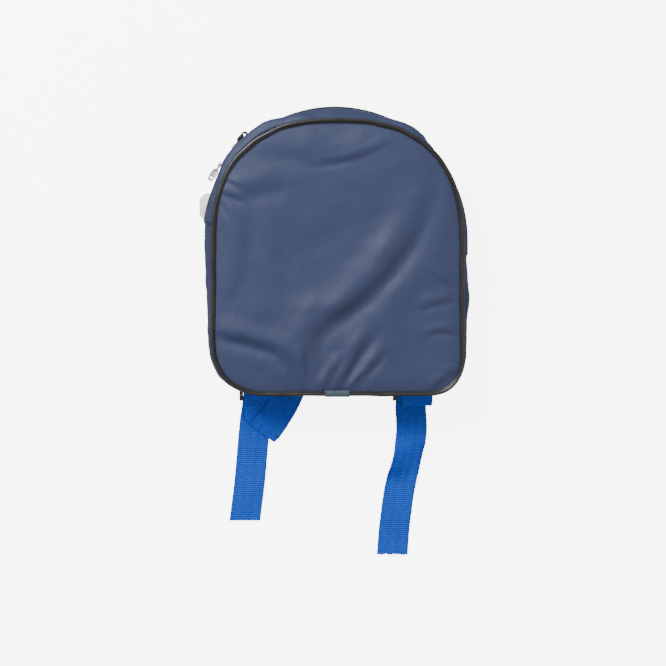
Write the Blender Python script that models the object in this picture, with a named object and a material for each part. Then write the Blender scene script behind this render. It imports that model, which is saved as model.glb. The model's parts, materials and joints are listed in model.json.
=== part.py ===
"""A small school backpack lying on its back: +Z leaves the front panel, +Y points to the top of the bag.

The bag is a D-shaped front panel and a back panel joined by a gusset. A zip with two sliders runs round
the arch of the gusset, so the upper front panel opens as a flap. Two padded straps lie under the back
panel and end in ladder locks, through which flat webbing runs. Units are metres.
"""

import math

import bmesh
import bpy
from mathutils import Matrix, Vector

# --- driving dimensions -------------------------------------------------------------------------------
GAP = 0.0003  # space left between pieces that touch

# The zip runs on a true circle; below it the gusset keeps that width, drawn in a little on the left.
ZIP_CENTRE_X = 0.002
ZIP_CENTRE_Y = 0.090
ZIP_RADIUS = 0.127
GUSSET_BASE_Y = -0.0595
GUSSET_CORNER_LEFT = 0.042
GUSSET_CORNER_RIGHT = 0.033
GUSSET_TAPER_LEFT = 0.005

# Outline of the front seam, which the front piping follows. Its arch lies well inside the zip's circle.
FRONT_CENTRE_X = 0.0045
FRONT_SPRING_Y = 0.087
FRONT_HALF_WIDTH = ZIP_RADIUS - 0.0065
FRONT_ARCH_HEIGHT = ZIP_RADIUS - 0.009
FRONT_ARCH_POWER = 2.45
FRONT_BASE_Y = -0.060
FRONT_CORNER_LEFT = 0.044
FRONT_CORNER_RIGHT = 0.029
FRONT_TAPER_LEFT = 0.0

# Outline of the back seam. Its arch lies a little inside the zip's circle.
BACK_CENTRE_X = 0.001
BACK_SPRING_Y = 0.090
BACK_HALF_WIDTH = ZIP_RADIUS - 0.0035
BACK_ARCH_HEIGHT = ZIP_RADIUS - 0.0045
BACK_ARCH_POWER = 2.3
BACK_BASE_Y = -0.057
BACK_CORNER_LEFT = 0.044
BACK_CORNER_RIGHT = 0.034
BACK_TAPER_LEFT = 0.004

PIPING_RADIUS = 0.002
FABRIC = 0.0008  # coated nylon with its seam allowances
LINING = 0.0006
BINDING_WIDTH = 0.004
BINDING_INSET = 0.0014  # the bindings lie this far inside the gusset's middle surface
BACK_FOAM = 0.003
BAG_DEPTH = 0.032  # from the back seam to the front seam
ZIP_DEPTH = 0.014  # from the back seam to the middle of the zip

# The flap folds on a line between the two ends of the zip.
HINGE_LEFT_Y = 0.106
HINGE_RIGHT_Y = 0.075

# Zip
CHAIN_GAP = 0.0016
CHAIN_HALF_WIDTH = 0.0018
CHAIN_THICKNESS = 0.0022
TAPE_THICKNESS = 0.0005
TAPE_WIDTH = 0.0075
TAPE_LAP = 0.003  # how far the gusset strip covers the tape
SLIDER_LENGTH = 0.012
SLIDER_WIDTH = 0.009
SLIDER_PLATE = 0.001
SLIDER_POST = 0.001
SLIDER_ROOM_OUTSIDE = 0.0015
SLIDER_ROOM_INSIDE = 0.0011
SLIDER_LEFT_ANGLE = 146.5
SLIDER_RIGHT_ANGLE = 138.0
LUG_THICKNESS = 0.0013
LUG_HEIGHT = 0.0037
PIN_RADIUS = 0.0007
PULL_LENGTH = 0.020
PULL_WIDTH = 0.007
PULL_THICKNESS = 0.0013
PULL_EYE = 0.0031
PULL_EYE_WIDTH = 0.0052
PULL_ROLL = 55.0
PULL_HOLE_RADIUS = 0.0015
PIN_CLEARANCE = 0.0003

# Straps and webbing
STRAP_WIDTH = 0.042
STRAP_SKIN = 0.0008
STRAP_FOAM = 0.0043
STRAP_TOP_Y = 0.178
STRAP_TOP_X = 0.034
STRAP_END_Y = -0.026
WEBBING_WIDTH = 0.030
WEBBING_THICKNESS = 0.0014
BUCKLE_LEFT_X = -0.072
BUCKLE_RIGHT_X = 0.077
BUCKLE_TOP_Y = -0.037
BUCKLE_WIDTH = 0.038
BUCKLE_LENGTH = 0.030
BUCKLE_THICKNESS = 0.0022
BUCKLE_BAR = 0.004
BUCKLE_SIDE = 0.0035
BUCKLE_TILT_ROOM = 0.0008  # lets the top bar tilt in its loop
WEBBING_REST = 0.0002  # the lowest webbing's height over the ground
LEFT_SLANT = (-0.588, -0.809)
LEFT_FOLD = (-0.0655, -0.096)
LEFT_RUN = 0.040  # from the back seam to the fold
LEFT_RETURN_END_Y = -0.078
LEFT_UNDER_X = (-0.075, -0.0777)
LEFT_TAIL = ((-0.081, -0.144), (-0.0858, -0.1835))
RIGHT_WEBBING_X = 0.082
RIGHT_WEBBING_WIDTH = 0.032
RIGHT_WEBBING_Y = (-0.047, -0.068, -0.0728, -0.0745)
RIGHT_TAIL = ((0.0765, -0.090), (0.0745, -0.112), (0.0703, -0.130), (0.0662, -0.146), (0.0634, -0.162),
              (0.0608, -0.178), (0.0592, -0.193), (0.0578, -0.2165))
TAIL_LEFT_HINGE_Y = -0.106
TAIL_RIGHT_HINGE_Y = -0.076
LOOP_WIDTH = 0.020
LOOP_HALF_LENGTH = 0.036
LOOP_Y = 0.197
LOOP_FINGER_ROOM = 0.0048

# Tab over the join of the piping, and the card tag
TAB_X = 0.004
TAB_WIDTH = 0.024
TAB_THICKNESS = 0.0005
TAG_CENTRE = (-0.1135, 0.1215)
TAG_WIDTH = 0.033
TAG_HEIGHT = 0.027
TAG_CORNER = 0.0055
TAG_THICKNESS = 0.0006
TAG_PIN = (-0.1045, 0.1215)
TAG_PIN_RADIUS = 0.0006

# --- heights, worked out from the pieces that lie on one another --------------------------------------
STRAP_BACKING_Z = 0.0
BUCKLE_Z = GAP + BUCKLE_TILT_ROOM + WEBBING_THICKNESS  # under face of a ladder lock
LOOP_TOP_Z = BUCKLE_Z + BUCKLE_THICKNESS + BUCKLE_TILT_ROOM + WEBBING_THICKNESS
STRAP_FOAM_Z = STRAP_BACKING_Z + STRAP_SKIN + GAP
STRAP_COVER_Z = STRAP_FOAM_Z + STRAP_FOAM + GAP
BACK_PANEL_Z = max(STRAP_COVER_Z + STRAP_SKIN + 2 * GAP, LOOP_TOP_Z + GAP / 2)
BACK_FOAM_Z = BACK_PANEL_Z + FABRIC + GAP
BACK_LINING_Z = BACK_FOAM_Z + BACK_FOAM + GAP
BACK_SEAM_Z = (BACK_PANEL_Z + BACK_LINING_Z + LINING) / 2
FRONT_SEAM_Z = BACK_SEAM_Z + BAG_DEPTH
ZIP_Z = BACK_SEAM_Z + ZIP_DEPTH
GUSSET_LOW_Z = BACK_SEAM_Z + PIPING_RADIUS + GAP
GUSSET_HIGH_Z = FRONT_SEAM_Z - PIPING_RADIUS - GAP
FRONT_PANEL_Z = FRONT_SEAM_Z - FABRIC / 2
HINGE_Z = FRONT_SEAM_Z + PIPING_RADIUS + GAP

ARCH_STEPS = 36
CORNER_STEPS = 5
BAND_LEVELS = 4
PI = math.pi

HINGE_A = Vector((ZIP_CENTRE_X - ZIP_RADIUS, HINGE_LEFT_Y, HINGE_Z))
HINGE_B = Vector((ZIP_CENTRE_X + ZIP_RADIUS, HINGE_RIGHT_Y, HINGE_Z))
HINGE_AXIS = (HINGE_B - HINGE_A).normalized()
HINGE_NORMAL = Vector((-HINGE_AXIS.y, HINGE_AXIS.x, 0))


# --- outlines -----------------------------------------------------------------------------------------
def d_outline(centre_x, spring_y, half_width, arch_height, power, base_y, corner_left, corner_right,
              taper_left=0.0, grow=0.0):
    """Points round a D from its right spring point over the arch, down the left side and along the base."""
    half_width, arch_height, base_y = half_width + grow, arch_height + grow, base_y - grow
    corner_left, corner_right = corner_left + grow, corner_right + grow
    points = []
    for step in range(ARCH_STEPS + 1):
        angle = PI * step / ARCH_STEPS
        cosine, sine = math.cos(angle), math.sin(angle)
        x = half_width * math.copysign(abs(cosine) ** (2 / power), cosine)
        points.append((centre_x + x, spring_y + arch_height * abs(sine) ** (2 / power)))
    left, right = centre_x - half_width, centre_x + half_width
    low_left = left + taper_left
    for share in (0.33, 0.67):
        points.append((left + taper_left * share, spring_y + (base_y + corner_left - spring_y) * share))
    for step in range(CORNER_STEPS + 1):
        angle = PI + PI / 2 * step / CORNER_STEPS
        points.append((low_left + corner_left * (1 + math.cos(angle)),
                       base_y + corner_left * (1 + math.sin(angle))))
    for share in (0.25, 0.5, 0.75):
        straight = right - corner_right - low_left - corner_left
        points.append((low_left + corner_left + straight * share, base_y))
    for step in range(CORNER_STEPS + 1):
        angle = -PI / 2 + PI / 2 * step / CORNER_STEPS
        points.append((right - corner_right * (1 - math.cos(angle)),
                       base_y + corner_right * (1 + math.sin(angle))))
    points.append((right, (base_y + corner_right + spring_y) / 2))
    return [Vector((x, y, 0)) for x, y in points]


def front_outline(grow=0.0):
    return d_outline(FRONT_CENTRE_X, FRONT_SPRING_Y, FRONT_HALF_WIDTH, FRONT_ARCH_HEIGHT, FRONT_ARCH_POWER,
                     FRONT_BASE_Y, FRONT_CORNER_LEFT, FRONT_CORNER_RIGHT, FRONT_TAPER_LEFT, grow)


def zip_outline(grow=0.0):
    return d_outline(ZIP_CENTRE_X, ZIP_CENTRE_Y, ZIP_RADIUS, ZIP_RADIUS, 2, GUSSET_BASE_Y,
                     GUSSET_CORNER_LEFT, GUSSET_CORNER_RIGHT, GUSSET_TAPER_LEFT, grow)


def back_outline(grow=0.0):
    return d_outline(BACK_CENTRE_X, BACK_SPRING_Y, BACK_HALF_WIDTH, BACK_ARCH_HEIGHT, BACK_ARCH_POWER,
                     BACK_BASE_Y, BACK_CORNER_LEFT, BACK_CORNER_RIGHT, BACK_TAPER_LEFT, grow)


def gusset_ring(z, inset):
    """The gusset's outline at height z: it bulges from either seam out to the zip."""
    middle = zip_outline(-inset)
    if z < ZIP_Z:
        seam, share = back_outline(-inset), (ZIP_Z - z) / (ZIP_Z - BACK_SEAM_Z)
    else:
        seam, share = front_outline(-inset), (z - ZIP_Z) / (FRONT_SEAM_Z - ZIP_Z)
    weight = 1 - math.cos(PI / 2 * share)
    return [a.lerp(b, weight) + Vector((0, 0, z)) for a, b in zip(middle, seam)]


def beyond_hinge(point):
    return (point - HINGE_B).dot(HINGE_NORMAL)


def open_run(points, upper):
    """The stretch of a closed outline above or below the fold line, ended on that line."""
    sign = 1 if upper else -1
    side = [sign * beyond_hinge(p) - GAP / 2 for p in points]
    count = len(points)
    start = next(i for i in range(count) if side[i - 1] <= 0 < side[i])
    run = [points[start - 1].lerp(points[start], -side[start - 1] / (side[start] - side[start - 1]))]
    index = start
    while side[index % count] > 0:
        run.append(points[index % count])
        index += 1
    before, after = side[(index - 1) % count], side[index % count]
    run.append(points[(index - 1) % count].lerp(points[index % count], before / (before - after)))
    return run


# --- making objects -----------------------------------------------------------------------------------
def material(name, colour, roughness, metallic=0.0):
    made = bpy.data.materials.new(name)
    made.use_nodes = True
    shader = made.node_tree.nodes["Principled BSDF"]
    shader.inputs["Base Color"].default_value = (*colour, 1)
    shader.inputs["Roughness"].default_value = roughness
    shader.inputs["Metallic"].default_value = metallic
    return made


def add_object(name, mesh_or_curve, finish):
    made = bpy.data.objects.new(name, mesh_or_curve)
    made.data.materials.append(finish.copy() if finish.users else finish)
    bpy.context.scene.collection.objects.link(made)
    return made


def mesh_object(name, bm, finish, smooth=True):
    bmesh.ops.recalc_face_normals(bm, faces=bm.faces)
    mesh = bpy.data.meshes.new(name)
    bm.to_mesh(mesh)
    bm.free()
    if smooth:
        mesh.shade_smooth()
        mesh.set_sharp_from_angle(angle=math.radians(40))
    return add_object(name, mesh, finish)


def thicken(made, thickness, offset):
    solid = made.modifiers.new("thickness", "SOLIDIFY")
    solid.thickness = thickness
    solid.offset = offset
    solid.use_even_offset = True


def cut_at_hinge(bm, upper):
    sign = 1 if upper else -1
    bmesh.ops.bisect_plane(bm, geom=bm.verts[:] + bm.edges[:] + bm.faces[:],
                           plane_co=HINGE_B + sign * HINGE_NORMAL * GAP / 2,
                           plane_no=sign * HINGE_NORMAL, clear_inner=True)


def band(name, low, high, inset, thickness, finish, upper=None):
    """A strip of the gusset between two heights, its outer face inset from the gusset's surface."""
    bm = bmesh.new()
    rings = []
    for level in range(BAND_LEVELS):
        z = low + (high - low) * level / (BAND_LEVELS - 1)
        rings.append([bm.verts.new(p) for p in gusset_ring(z, inset)])
    for below, above in zip(rings, rings[1:]):
        for i, vert in enumerate(below):
            following = (i + 1) % len(below)
            bm.faces.new((vert, below[following], above[following], above[i]))
    if upper is not None:
        cut_at_hinge(bm, upper)
    made = mesh_object(name, bm, finish)
    thicken(made, thickness, -1)
    return made


def slab(name, outline, low, thickness, finish, upper=None):
    """A flat panel of this outline, from height low upwards."""
    bm = bmesh.new()
    bm.faces.new([bm.verts.new(Vector((p.x, p.y, low))) for p in outline])
    if upper is not None:
        cut_at_hinge(bm, upper)
    sheet = bmesh.ops.extrude_face_region(bm, geom=bm.faces[:])
    raised = [item for item in sheet["geom"] if isinstance(item, bmesh.types.BMVert)]
    bmesh.ops.translate(bm, verts=raised, vec=(0, 0, thickness))
    return mesh_object(name, bm, finish, smooth=False)


def tube(name, points, radius, finish, closed=False):
    curve = bpy.data.curves.new(name, "CURVE")
    curve.dimensions = "3D"
    curve.bevel_depth = radius
    curve.bevel_resolution = 2
    curve.use_fill_caps = True
    spline = curve.splines.new("POLY")
    spline.points.add(len(points) - 1)
    for item, point in zip(spline.points, points):
        item.co = (*point, 1)
    spline.use_cyclic_u = closed
    return add_object(name, curve, finish)


def loft(name, sections, finish):
    """A closed body through rectangular sections, each a list of its four corners."""
    bm = bmesh.new()
    loops = []
    for corners in sections:
        verts = [bm.verts.new(c) for c in corners]
        loops.append([bm.edges.new((verts[i], verts[(i + 1) % 4])) for i in range(4)])
    for first, second in zip(loops, loops[1:]):
        bmesh.ops.bridge_loops(bm, edges=first + second)
    for loop in (loops[0], loops[-1]):
        bmesh.ops.contextual_create(bm, geom=loop)
    return mesh_object(name, bm, finish)


def ribbon(name, path, width, thickness, finish):
    """Flat webbing along a path of (centre, direction across): its thickness is square to both."""
    sections = []
    for i, (centre, across) in enumerate(path):
        ahead = path[min(i + 1, len(path) - 1)][0] - path[max(i - 1, 0)][0]
        across = across.normalized()
        up = across.cross(ahead).normalized() * thickness / 2
        side = across * width / 2
        sections.append([centre - side - up, centre + side - up, centre + side + up, centre - side + up])
    return loft(name, sections, finish)


def box_mesh(bm, low, high):
    centre = [(a + b) / 2 for a, b in zip(low, high)]
    size = [b - a for a, b in zip(low, high)]
    bmesh.ops.create_cube(bm, size=1, matrix=Matrix.LocRotScale(centre, None, size))


def helper(name, bm):
    mesh = bpy.data.meshes.new(name)
    bmesh.ops.recalc_face_normals(bm, faces=bm.faces)
    bm.to_mesh(mesh)
    bm.free()
    made = bpy.data.objects.new(name, mesh)
    bpy.context.scene.collection.objects.link(made)
    made.hide_render = True
    made.display_type = "WIRE"
    return made


def combine(made, other, operation):
    step = made.modifiers.new(other.name, "BOOLEAN")
    step.operation = operation
    step.solver = "EXACT"
    step.object = other


def pivot(name, place, turn_z=0.0):
    empty = bpy.data.objects.new(name, None)
    empty.location = place
    empty.rotation_euler = (0, 0, turn_z)
    bpy.context.scene.collection.objects.link(empty)
    return empty


# --- the bag ------------------------------------------------------------------------------------------
def make_back(nylon, foam, lining, piping, binding):
    inside = PIPING_RADIUS + GAP
    slab("back_panel", back_outline(-inside), BACK_PANEL_Z, FABRIC, nylon)
    slab("back_foam", back_outline(-inside), BACK_FOAM_Z, BACK_FOAM, foam)
    slab("back_lining", back_outline(-inside), BACK_LINING_Z, LINING, lining)
    rim = [p + Vector((0, 0, BACK_SEAM_Z)) for p in back_outline()]
    tube("rear_piping", rim, PIPING_RADIUS, piping, closed=True)
    low = BACK_LINING_Z + LINING + GAP
    band("rear_seam_binding", low, low + BINDING_WIDTH, BINDING_INSET, LINING, binding)


def make_front(nylon, piping, binding):
    rim = [p + Vector((0, 0, FRONT_SEAM_Z)) for p in front_outline()]
    panel = front_outline(-PIPING_RADIUS - GAP)
    for prefix, upper in (("upper", True), ("lower", False)):
        slab(prefix + "_front_panel", panel, FRONT_PANEL_Z, FABRIC, nylon, upper)
        tube(prefix + "_front_piping", open_run(rim, upper), PIPING_RADIUS, piping)
        band(prefix + "_front_seam_binding", GUSSET_HIGH_Z - BINDING_WIDTH, GUSSET_HIGH_Z, BINDING_INSET,
             LINING, binding, upper)


def make_gusset(nylon, tape, chain):
    chain_edge = CHAIN_GAP / 2 + CHAIN_HALF_WIDTH + GAP
    tape_end = chain_edge + TAPE_WIDTH
    strip_start = tape_end - TAPE_LAP
    band("lower_gusset", GUSSET_LOW_Z, GUSSET_HIGH_Z, -FABRIC, FABRIC, nylon, False)
    band("rear_gusset_strip", GUSSET_LOW_Z, ZIP_Z - strip_start, -FABRIC, FABRIC, nylon, True)
    band("front_gusset_strip", ZIP_Z + strip_start, GUSSET_HIGH_Z, -FABRIC, FABRIC, nylon, True)
    band("rear_zip_tape", ZIP_Z - tape_end, ZIP_Z - chain_edge, GAP, TAPE_THICKNESS, tape, True)
    band("front_zip_tape", ZIP_Z + chain_edge, ZIP_Z + tape_end, GAP, TAPE_THICKNESS, tape, True)
    for name, sign in (("rear_zip_chain", -1), ("front_zip_chain", 1)):
        near = ZIP_Z + sign * CHAIN_GAP / 2
        far = near + sign * CHAIN_HALF_WIDTH
        chain_band(name, min(near, far), max(near, far), chain)


def chain_band(name, low, high, finish):
    """Half of the zip's chain: a closed ring section on the zip circle, between the two ends."""
    bm = bmesh.new()
    inner = zip_outline(-CHAIN_THICKNESS / 2)
    outer = zip_outline(CHAIN_THICKNESS / 2)
    for ring in (outer, inner):
        for z in (low, high):
            for point in ring:
                bm.verts.new(point + Vector((0, 0, z)))
    bm.verts.ensure_lookup_table()
    count = len(inner)
    corners = (0, count, 3 * count, 2 * count)
    for i in range(count):
        following = (i + 1) % count
        for start, end in zip(corners, corners[1:] + corners[:1]):
            bm.faces.new([bm.verts[k] for k in (start + i, start + following, end + following, end + i)])
    cut_at_hinge(bm, True)
    edges = [edge for edge in bm.edges if edge.is_boundary]
    bmesh.ops.holes_fill(bm, edges=edges, sides=4)
    mesh_object(name, bm, finish)


def slider_section():
    """The slider seen along the zip: two plates joined by the post that runs between the chain's halves."""
    inner_face = -CHAIN_THICKNESS / 2 - SLIDER_ROOM_INSIDE
    outer_face = CHAIN_THICKNESS / 2 + SLIDER_ROOM_OUTSIDE
    half, post = SLIDER_WIDTH / 2, SLIDER_POST / 2
    side = [(inner_face - SLIDER_PLATE, half), (inner_face, half), (inner_face, post),
            (outer_face, post), (outer_face, half), (outer_face + SLIDER_PLATE, half)]
    return side + [(x, -z) for x, z in reversed(side)]


def make_slider(side, angle, metal):
    """One slider with its pull: +X of its pivot is the outward direction, +Y runs along the zip."""
    track = pivot("slider_" + side + "_track", (ZIP_CENTRE_X, ZIP_CENTRE_Y, ZIP_Z), math.radians(angle))
    bm = bmesh.new()
    low = [bm.verts.new((ZIP_RADIUS + x, -SLIDER_LENGTH / 2, z)) for x, z in slider_section()]
    face = bm.faces.new(low)
    grown = bmesh.ops.extrude_face_region(bm, geom=[face])
    moved = [item for item in grown["geom"] if isinstance(item, bmesh.types.BMVert)]
    bmesh.ops.translate(bm, verts=moved, vec=(0, SLIDER_LENGTH, 0))
    slider = mesh_object("zip_slider_" + side, bm, metal, smooth=False)
    slider.parent = track

    face_x = ZIP_RADIUS + CHAIN_THICKNESS / 2 + SLIDER_ROOM_OUTSIDE + SLIDER_PLATE
    pin_x = face_x + LUG_HEIGHT - 2 * PIN_RADIUS
    lug_inside = PULL_EYE_WIDTH / 2 + GAP
    lugs = bmesh.new()
    for sign in (-1, 1):
        low_z, high_z = sorted((sign * lug_inside, sign * (lug_inside + LUG_THICKNESS)))
        box_mesh(lugs, (face_x - SLIDER_PLATE / 2, -0.0014, low_z), (face_x + LUG_HEIGHT, 0.0014, high_z))
    lug_pair = helper("slider_" + side + "_lugs", lugs)
    lug_pair.parent = track
    combine(slider, lug_pair, "UNION")
    rod = bmesh.new()
    bmesh.ops.create_cone(rod, cap_ends=True, segments=12, radius1=PIN_RADIUS, radius2=PIN_RADIUS,
                          depth=2 * lug_inside + LUG_THICKNESS, matrix=Matrix.Translation((pin_x, 0, 0)))
    pin = helper("slider_" + side + "_pin", rod)
    pin.parent = track
    combine(slider, pin, "UNION")
    make_pull(side, track, pin_x, metal)


def make_pull(side, track, pin_x, metal):
    """The pull hangs from the pin: an eye block that turns into a rolled plate with a round end. The two
    sliders stand head to head, so the right pull points the other way."""
    hang = pivot("pull_" + side + "_pivot", (pin_x, 0, 0))
    hang.parent = track
    if side == "right":
        hang.rotation_euler = (PI, 0, 0)
    stations = [(-0.5 * PULL_EYE, 0.0, PULL_EYE_WIDTH, PULL_EYE),
                (0.5 * PULL_EYE, 0.0, PULL_EYE_WIDTH, PULL_EYE),
                (SLIDER_LENGTH / 2, 0.1, PULL_EYE_WIDTH, PULL_THICKNESS),
                (SLIDER_LENGTH / 2 + 0.003, 1.0, PULL_WIDTH, PULL_THICKNESS)]
    straight_end = PULL_LENGTH - PULL_WIDTH / 2
    for step in range(5):
        turn = PI / 2 * step / 4 * 0.92
        stations.append((straight_end + PULL_WIDTH / 2 * math.sin(turn), 1.0, PULL_WIDTH * math.cos(turn),
                         PULL_THICKNESS))
    sections = []
    for along, share, width, thickness in stations:
        roll = math.radians(PULL_ROLL) * share
        across = Vector((-math.sin(roll), 0, math.cos(roll))) * width / 2
        up = Vector((math.cos(roll), 0, math.sin(roll))) * thickness / 2
        centre = Vector((0, along, 0))
        sections.append([centre - across - up, centre + across - up,
                         centre + across + up, centre - across + up])
    pull = loft("zip_pull_" + side, sections, metal)
    pull.parent = hang
    bore = bmesh.new()
    bmesh.ops.create_cone(bore, cap_ends=True, segments=12, radius1=PIN_RADIUS + PIN_CLEARANCE,
                          radius2=PIN_RADIUS + PIN_CLEARANCE, depth=3 * PULL_EYE_WIDTH)
    bore_cutter = helper("pull_" + side + "_bore", bore)
    bore_cutter.parent = hang
    combine(pull, bore_cutter, "DIFFERENCE")
    tip = bmesh.new()
    turned = Matrix.Translation((0, straight_end, 0)) @ Matrix.Rotation(-math.radians(PULL_ROLL), 4, "Y")
    bmesh.ops.create_cone(tip, cap_ends=True, segments=12, radius1=PULL_HOLE_RADIUS, radius2=PULL_HOLE_RADIUS,
                          depth=6 * PULL_THICKNESS, matrix=turned @ Matrix.Rotation(PI / 2, 4, "Y"))
    tip_cutter = helper("pull_" + side + "_tip_hole", tip)
    tip_cutter.parent = hang
    combine(pull, tip_cutter, "DIFFERENCE")


def make_strap(side, end_x, cover, foam, backing):
    """A padded shoulder strap in three layers, from beside the carry loop down to its ladder lock."""
    sign = -1 if side == "left" else 1
    start, end = Vector((sign * STRAP_TOP_X, STRAP_TOP_Y, 0)), Vector((end_x, STRAP_END_Y, 0))
    bend = Vector((sign * (abs(end_x) + 0.012), (STRAP_TOP_Y + STRAP_END_Y) / 2 + 0.02, 0))
    path = []
    for step in range(11):
        t = step / 10
        centre = start * (1 - t) ** 2 + bend * 2 * t * (1 - t) + end * t ** 2
        ahead = (bend - start) * (1 - t) + (end - bend) * t
        path.append((centre, Vector((-ahead.y, ahead.x, 0))))
    path[-1] = (end, Vector((1, 0, 0)))
    layers = (("backing", STRAP_BACKING_Z, STRAP_SKIN, backing), ("foam", STRAP_FOAM_Z, STRAP_FOAM, foam),
              ("cover", STRAP_COVER_Z, STRAP_SKIN, cover))
    for layer, low, thickness, finish in layers:
        lifted = [(c + Vector((0, 0, low + thickness / 2)), across) for c, across in path]
        ribbon("strap_" + layer + "_" + side, lifted, STRAP_WIDTH, thickness, finish)


def make_buckle(side, x, plastic, webbing):
    """A ladder lock with three bars, and the webbing loop that holds its top bar to the strap."""
    bm = bmesh.new()
    high, low = BUCKLE_TOP_Y, BUCKLE_TOP_Y - BUCKLE_LENGTH
    box_mesh(bm, (x - BUCKLE_WIDTH / 2, low, BUCKLE_Z),
             (x + BUCKLE_WIDTH / 2, high, BUCKLE_Z + BUCKLE_THICKNESS))
    lock = mesh_object("ladder_lock_" + side, bm, plastic, smooth=False)
    slot = (BUCKLE_LENGTH - 3 * BUCKLE_BAR) / 2
    slots = bmesh.new()
    for index in range(2):
        top = high - BUCKLE_BAR - index * (slot + BUCKLE_BAR)
        box_mesh(slots, (x - BUCKLE_WIDTH / 2 + BUCKLE_SIDE, top - slot, BUCKLE_Z - 0.001),
                 (x + BUCKLE_WIDTH / 2 - BUCKLE_SIDE, top, BUCKLE_Z + BUCKLE_THICKNESS + 0.001))
    combine(lock, helper("ladder_lock_" + side + "_slots", slots), "DIFFERENCE")

    half = BUCKLE_THICKNESS / 2 + BUCKLE_TILT_ROOM + WEBBING_THICKNESS / 2
    centre = Vector((x, high - BUCKLE_BAR / 2, BUCKLE_Z + BUCKLE_THICKNESS / 2))
    reach = BUCKLE_BAR / 2 + 4 * GAP + WEBBING_THICKNESS / 2
    start = STRAP_END_Y - 2 * GAP - centre.y
    route = [(start, half), (0, half), (-reach * 0.85, half * 0.8), (-reach, 0), (-reach * 0.85, -half * 0.8),
             (0, -half), (start, -half)]
    across = Vector((1, 0, 0))
    ribbon("strap_end_loop_" + side, [(centre + Vector((0, y, z)), across) for y, z in route],
           WEBBING_WIDTH - 0.001, WEBBING_THICKNESS, webbing)


def over_lock():
    """Height of the middle of a webbing that lies on a ladder lock."""
    return BUCKLE_Z + BUCKLE_THICKNESS + 2 * GAP + WEBBING_THICKNESS / 2


def webbing_layer(number):
    """Height of the middle of a layer of webbing, counted up from the ground."""
    return WEBBING_REST + WEBBING_THICKNESS / 2 + number * (WEBBING_THICKNESS + 2 * GAP)


def make_left_webbing(webbing):
    """From the back seam the webbing comes down at a slant, folds under itself and goes to its lock."""
    slant, fold = Vector((*LEFT_SLANT, 0)), Vector((*LEFT_FOLD, 0))
    slant_across, across = Vector((-LEFT_SLANT[1], LEFT_SLANT[0], 0)), Vector((1, 0, 0))
    under, middle, top = (Vector((0, 0, webbing_layer(number))) for number in range(3))
    above_lock = Vector((0, 0, over_lock()))
    turn = 2 * WEBBING_THICKNESS
    path = [(fold - slant * LEFT_RUN + above_lock, slant_across),
            (fold - slant * LEFT_RUN * 0.7 + above_lock, slant_across),
            (fold - slant * turn + top, slant_across),
            (fold + (top + middle) / 2, slant_across),
            (fold - slant * turn + middle, slant_across),
            (Vector((BUCKLE_LEFT_X, LEFT_RETURN_END_Y, 0)) + middle, across)]
    ribbon("webbing_left", path, WEBBING_WIDTH, WEBBING_THICKNESS, webbing)
    start = Vector((LEFT_UNDER_X[0], BUCKLE_TOP_Y - BUCKLE_LENGTH - GAP, 0))
    end = Vector((LEFT_UNDER_X[1], 0, 0))
    hinge = Vector((0, TAIL_LEFT_HINGE_Y, 0))
    gap = Vector((0, GAP, 0))
    ribbon("webbing_under_left", [(start + under, across), (end + hinge + gap + under, across)],
           WEBBING_WIDTH, WEBBING_THICKNESS, webbing)
    tail = [end + hinge - gap, *(Vector((x, y, 0)) for x, y in LEFT_TAIL)]
    ribbon("webbing_tail_left", [(place + under, across) for place in tail], WEBBING_WIDTH,
           WEBBING_THICKNESS, webbing)


def make_right_webbing(webbing):
    """On the right the webbing comes straight down over the lock, and the tail leaves the lock below it."""
    across = Vector((1, 0, 0))
    heights = (over_lock(), over_lock(), webbing_layer(1), webbing_layer(1))
    places = [Vector((RIGHT_WEBBING_X, y, z)) for y, z in zip(RIGHT_WEBBING_Y, heights)]
    ribbon("webbing_right", [(place, across) for place in places], RIGHT_WEBBING_WIDTH,
           WEBBING_THICKNESS, webbing)
    tail = [(RIGHT_TAIL[0][0], TAIL_RIGHT_HINGE_Y), *RIGHT_TAIL]
    ribbon("webbing_tail_right", [(Vector((x, y, webbing_layer(0))), across) for x, y in tail], WEBBING_WIDTH,
           WEBBING_THICKNESS, webbing)


def make_carry_loop(webbing):
    top = BACK_PANEL_Z - GAP - WEBBING_THICKNESS / 2
    low = BACK_PANEL_Z - LOOP_FINGER_ROOM - WEBBING_THICKNESS / 2
    across = Vector((0, 1, 0))
    half_path = [(LOOP_HALF_LENGTH, top), (LOOP_HALF_LENGTH - 0.008, top),
                 (LOOP_HALF_LENGTH - 0.014, (top + low) / 2),
                 (LOOP_HALF_LENGTH - 0.020, low), (0.006, low)]
    path = [(Vector((x, LOOP_Y, z)), across) for x, z in half_path]
    path += [(Vector((-x, LOOP_Y, z)), across) for x, z in reversed(half_path)]
    ribbon("carry_loop", path, LOOP_WIDTH, WEBBING_THICKNESS, webbing)


def make_tab(binding):
    """The strip of tape sewn over the join of the front piping at the middle of the base."""
    high = FRONT_SEAM_Z + PIPING_RADIUS + GAP + TAB_THICKNESS / 2
    inner_y = FRONT_BASE_Y + PIPING_RADIUS + 0.0035
    reach = PIPING_RADIUS + GAP + TAB_THICKNESS / 2
    centre = Vector((TAB_X, FRONT_BASE_Y, FRONT_SEAM_Z))
    across = Vector((1, 0, 0))
    path = [(Vector((TAB_X, inner_y, high)), across), (Vector((TAB_X, FRONT_BASE_Y, high)), across)]
    for degrees in (125, 155, 185):
        turn = math.radians(degrees)
        path.append((centre + Vector((0, math.cos(turn) * reach, math.sin(turn) * reach)) * 1.04, across))
    ribbon("piping_tab", path, TAB_WIDTH, TAB_THICKNESS, binding)


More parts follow.
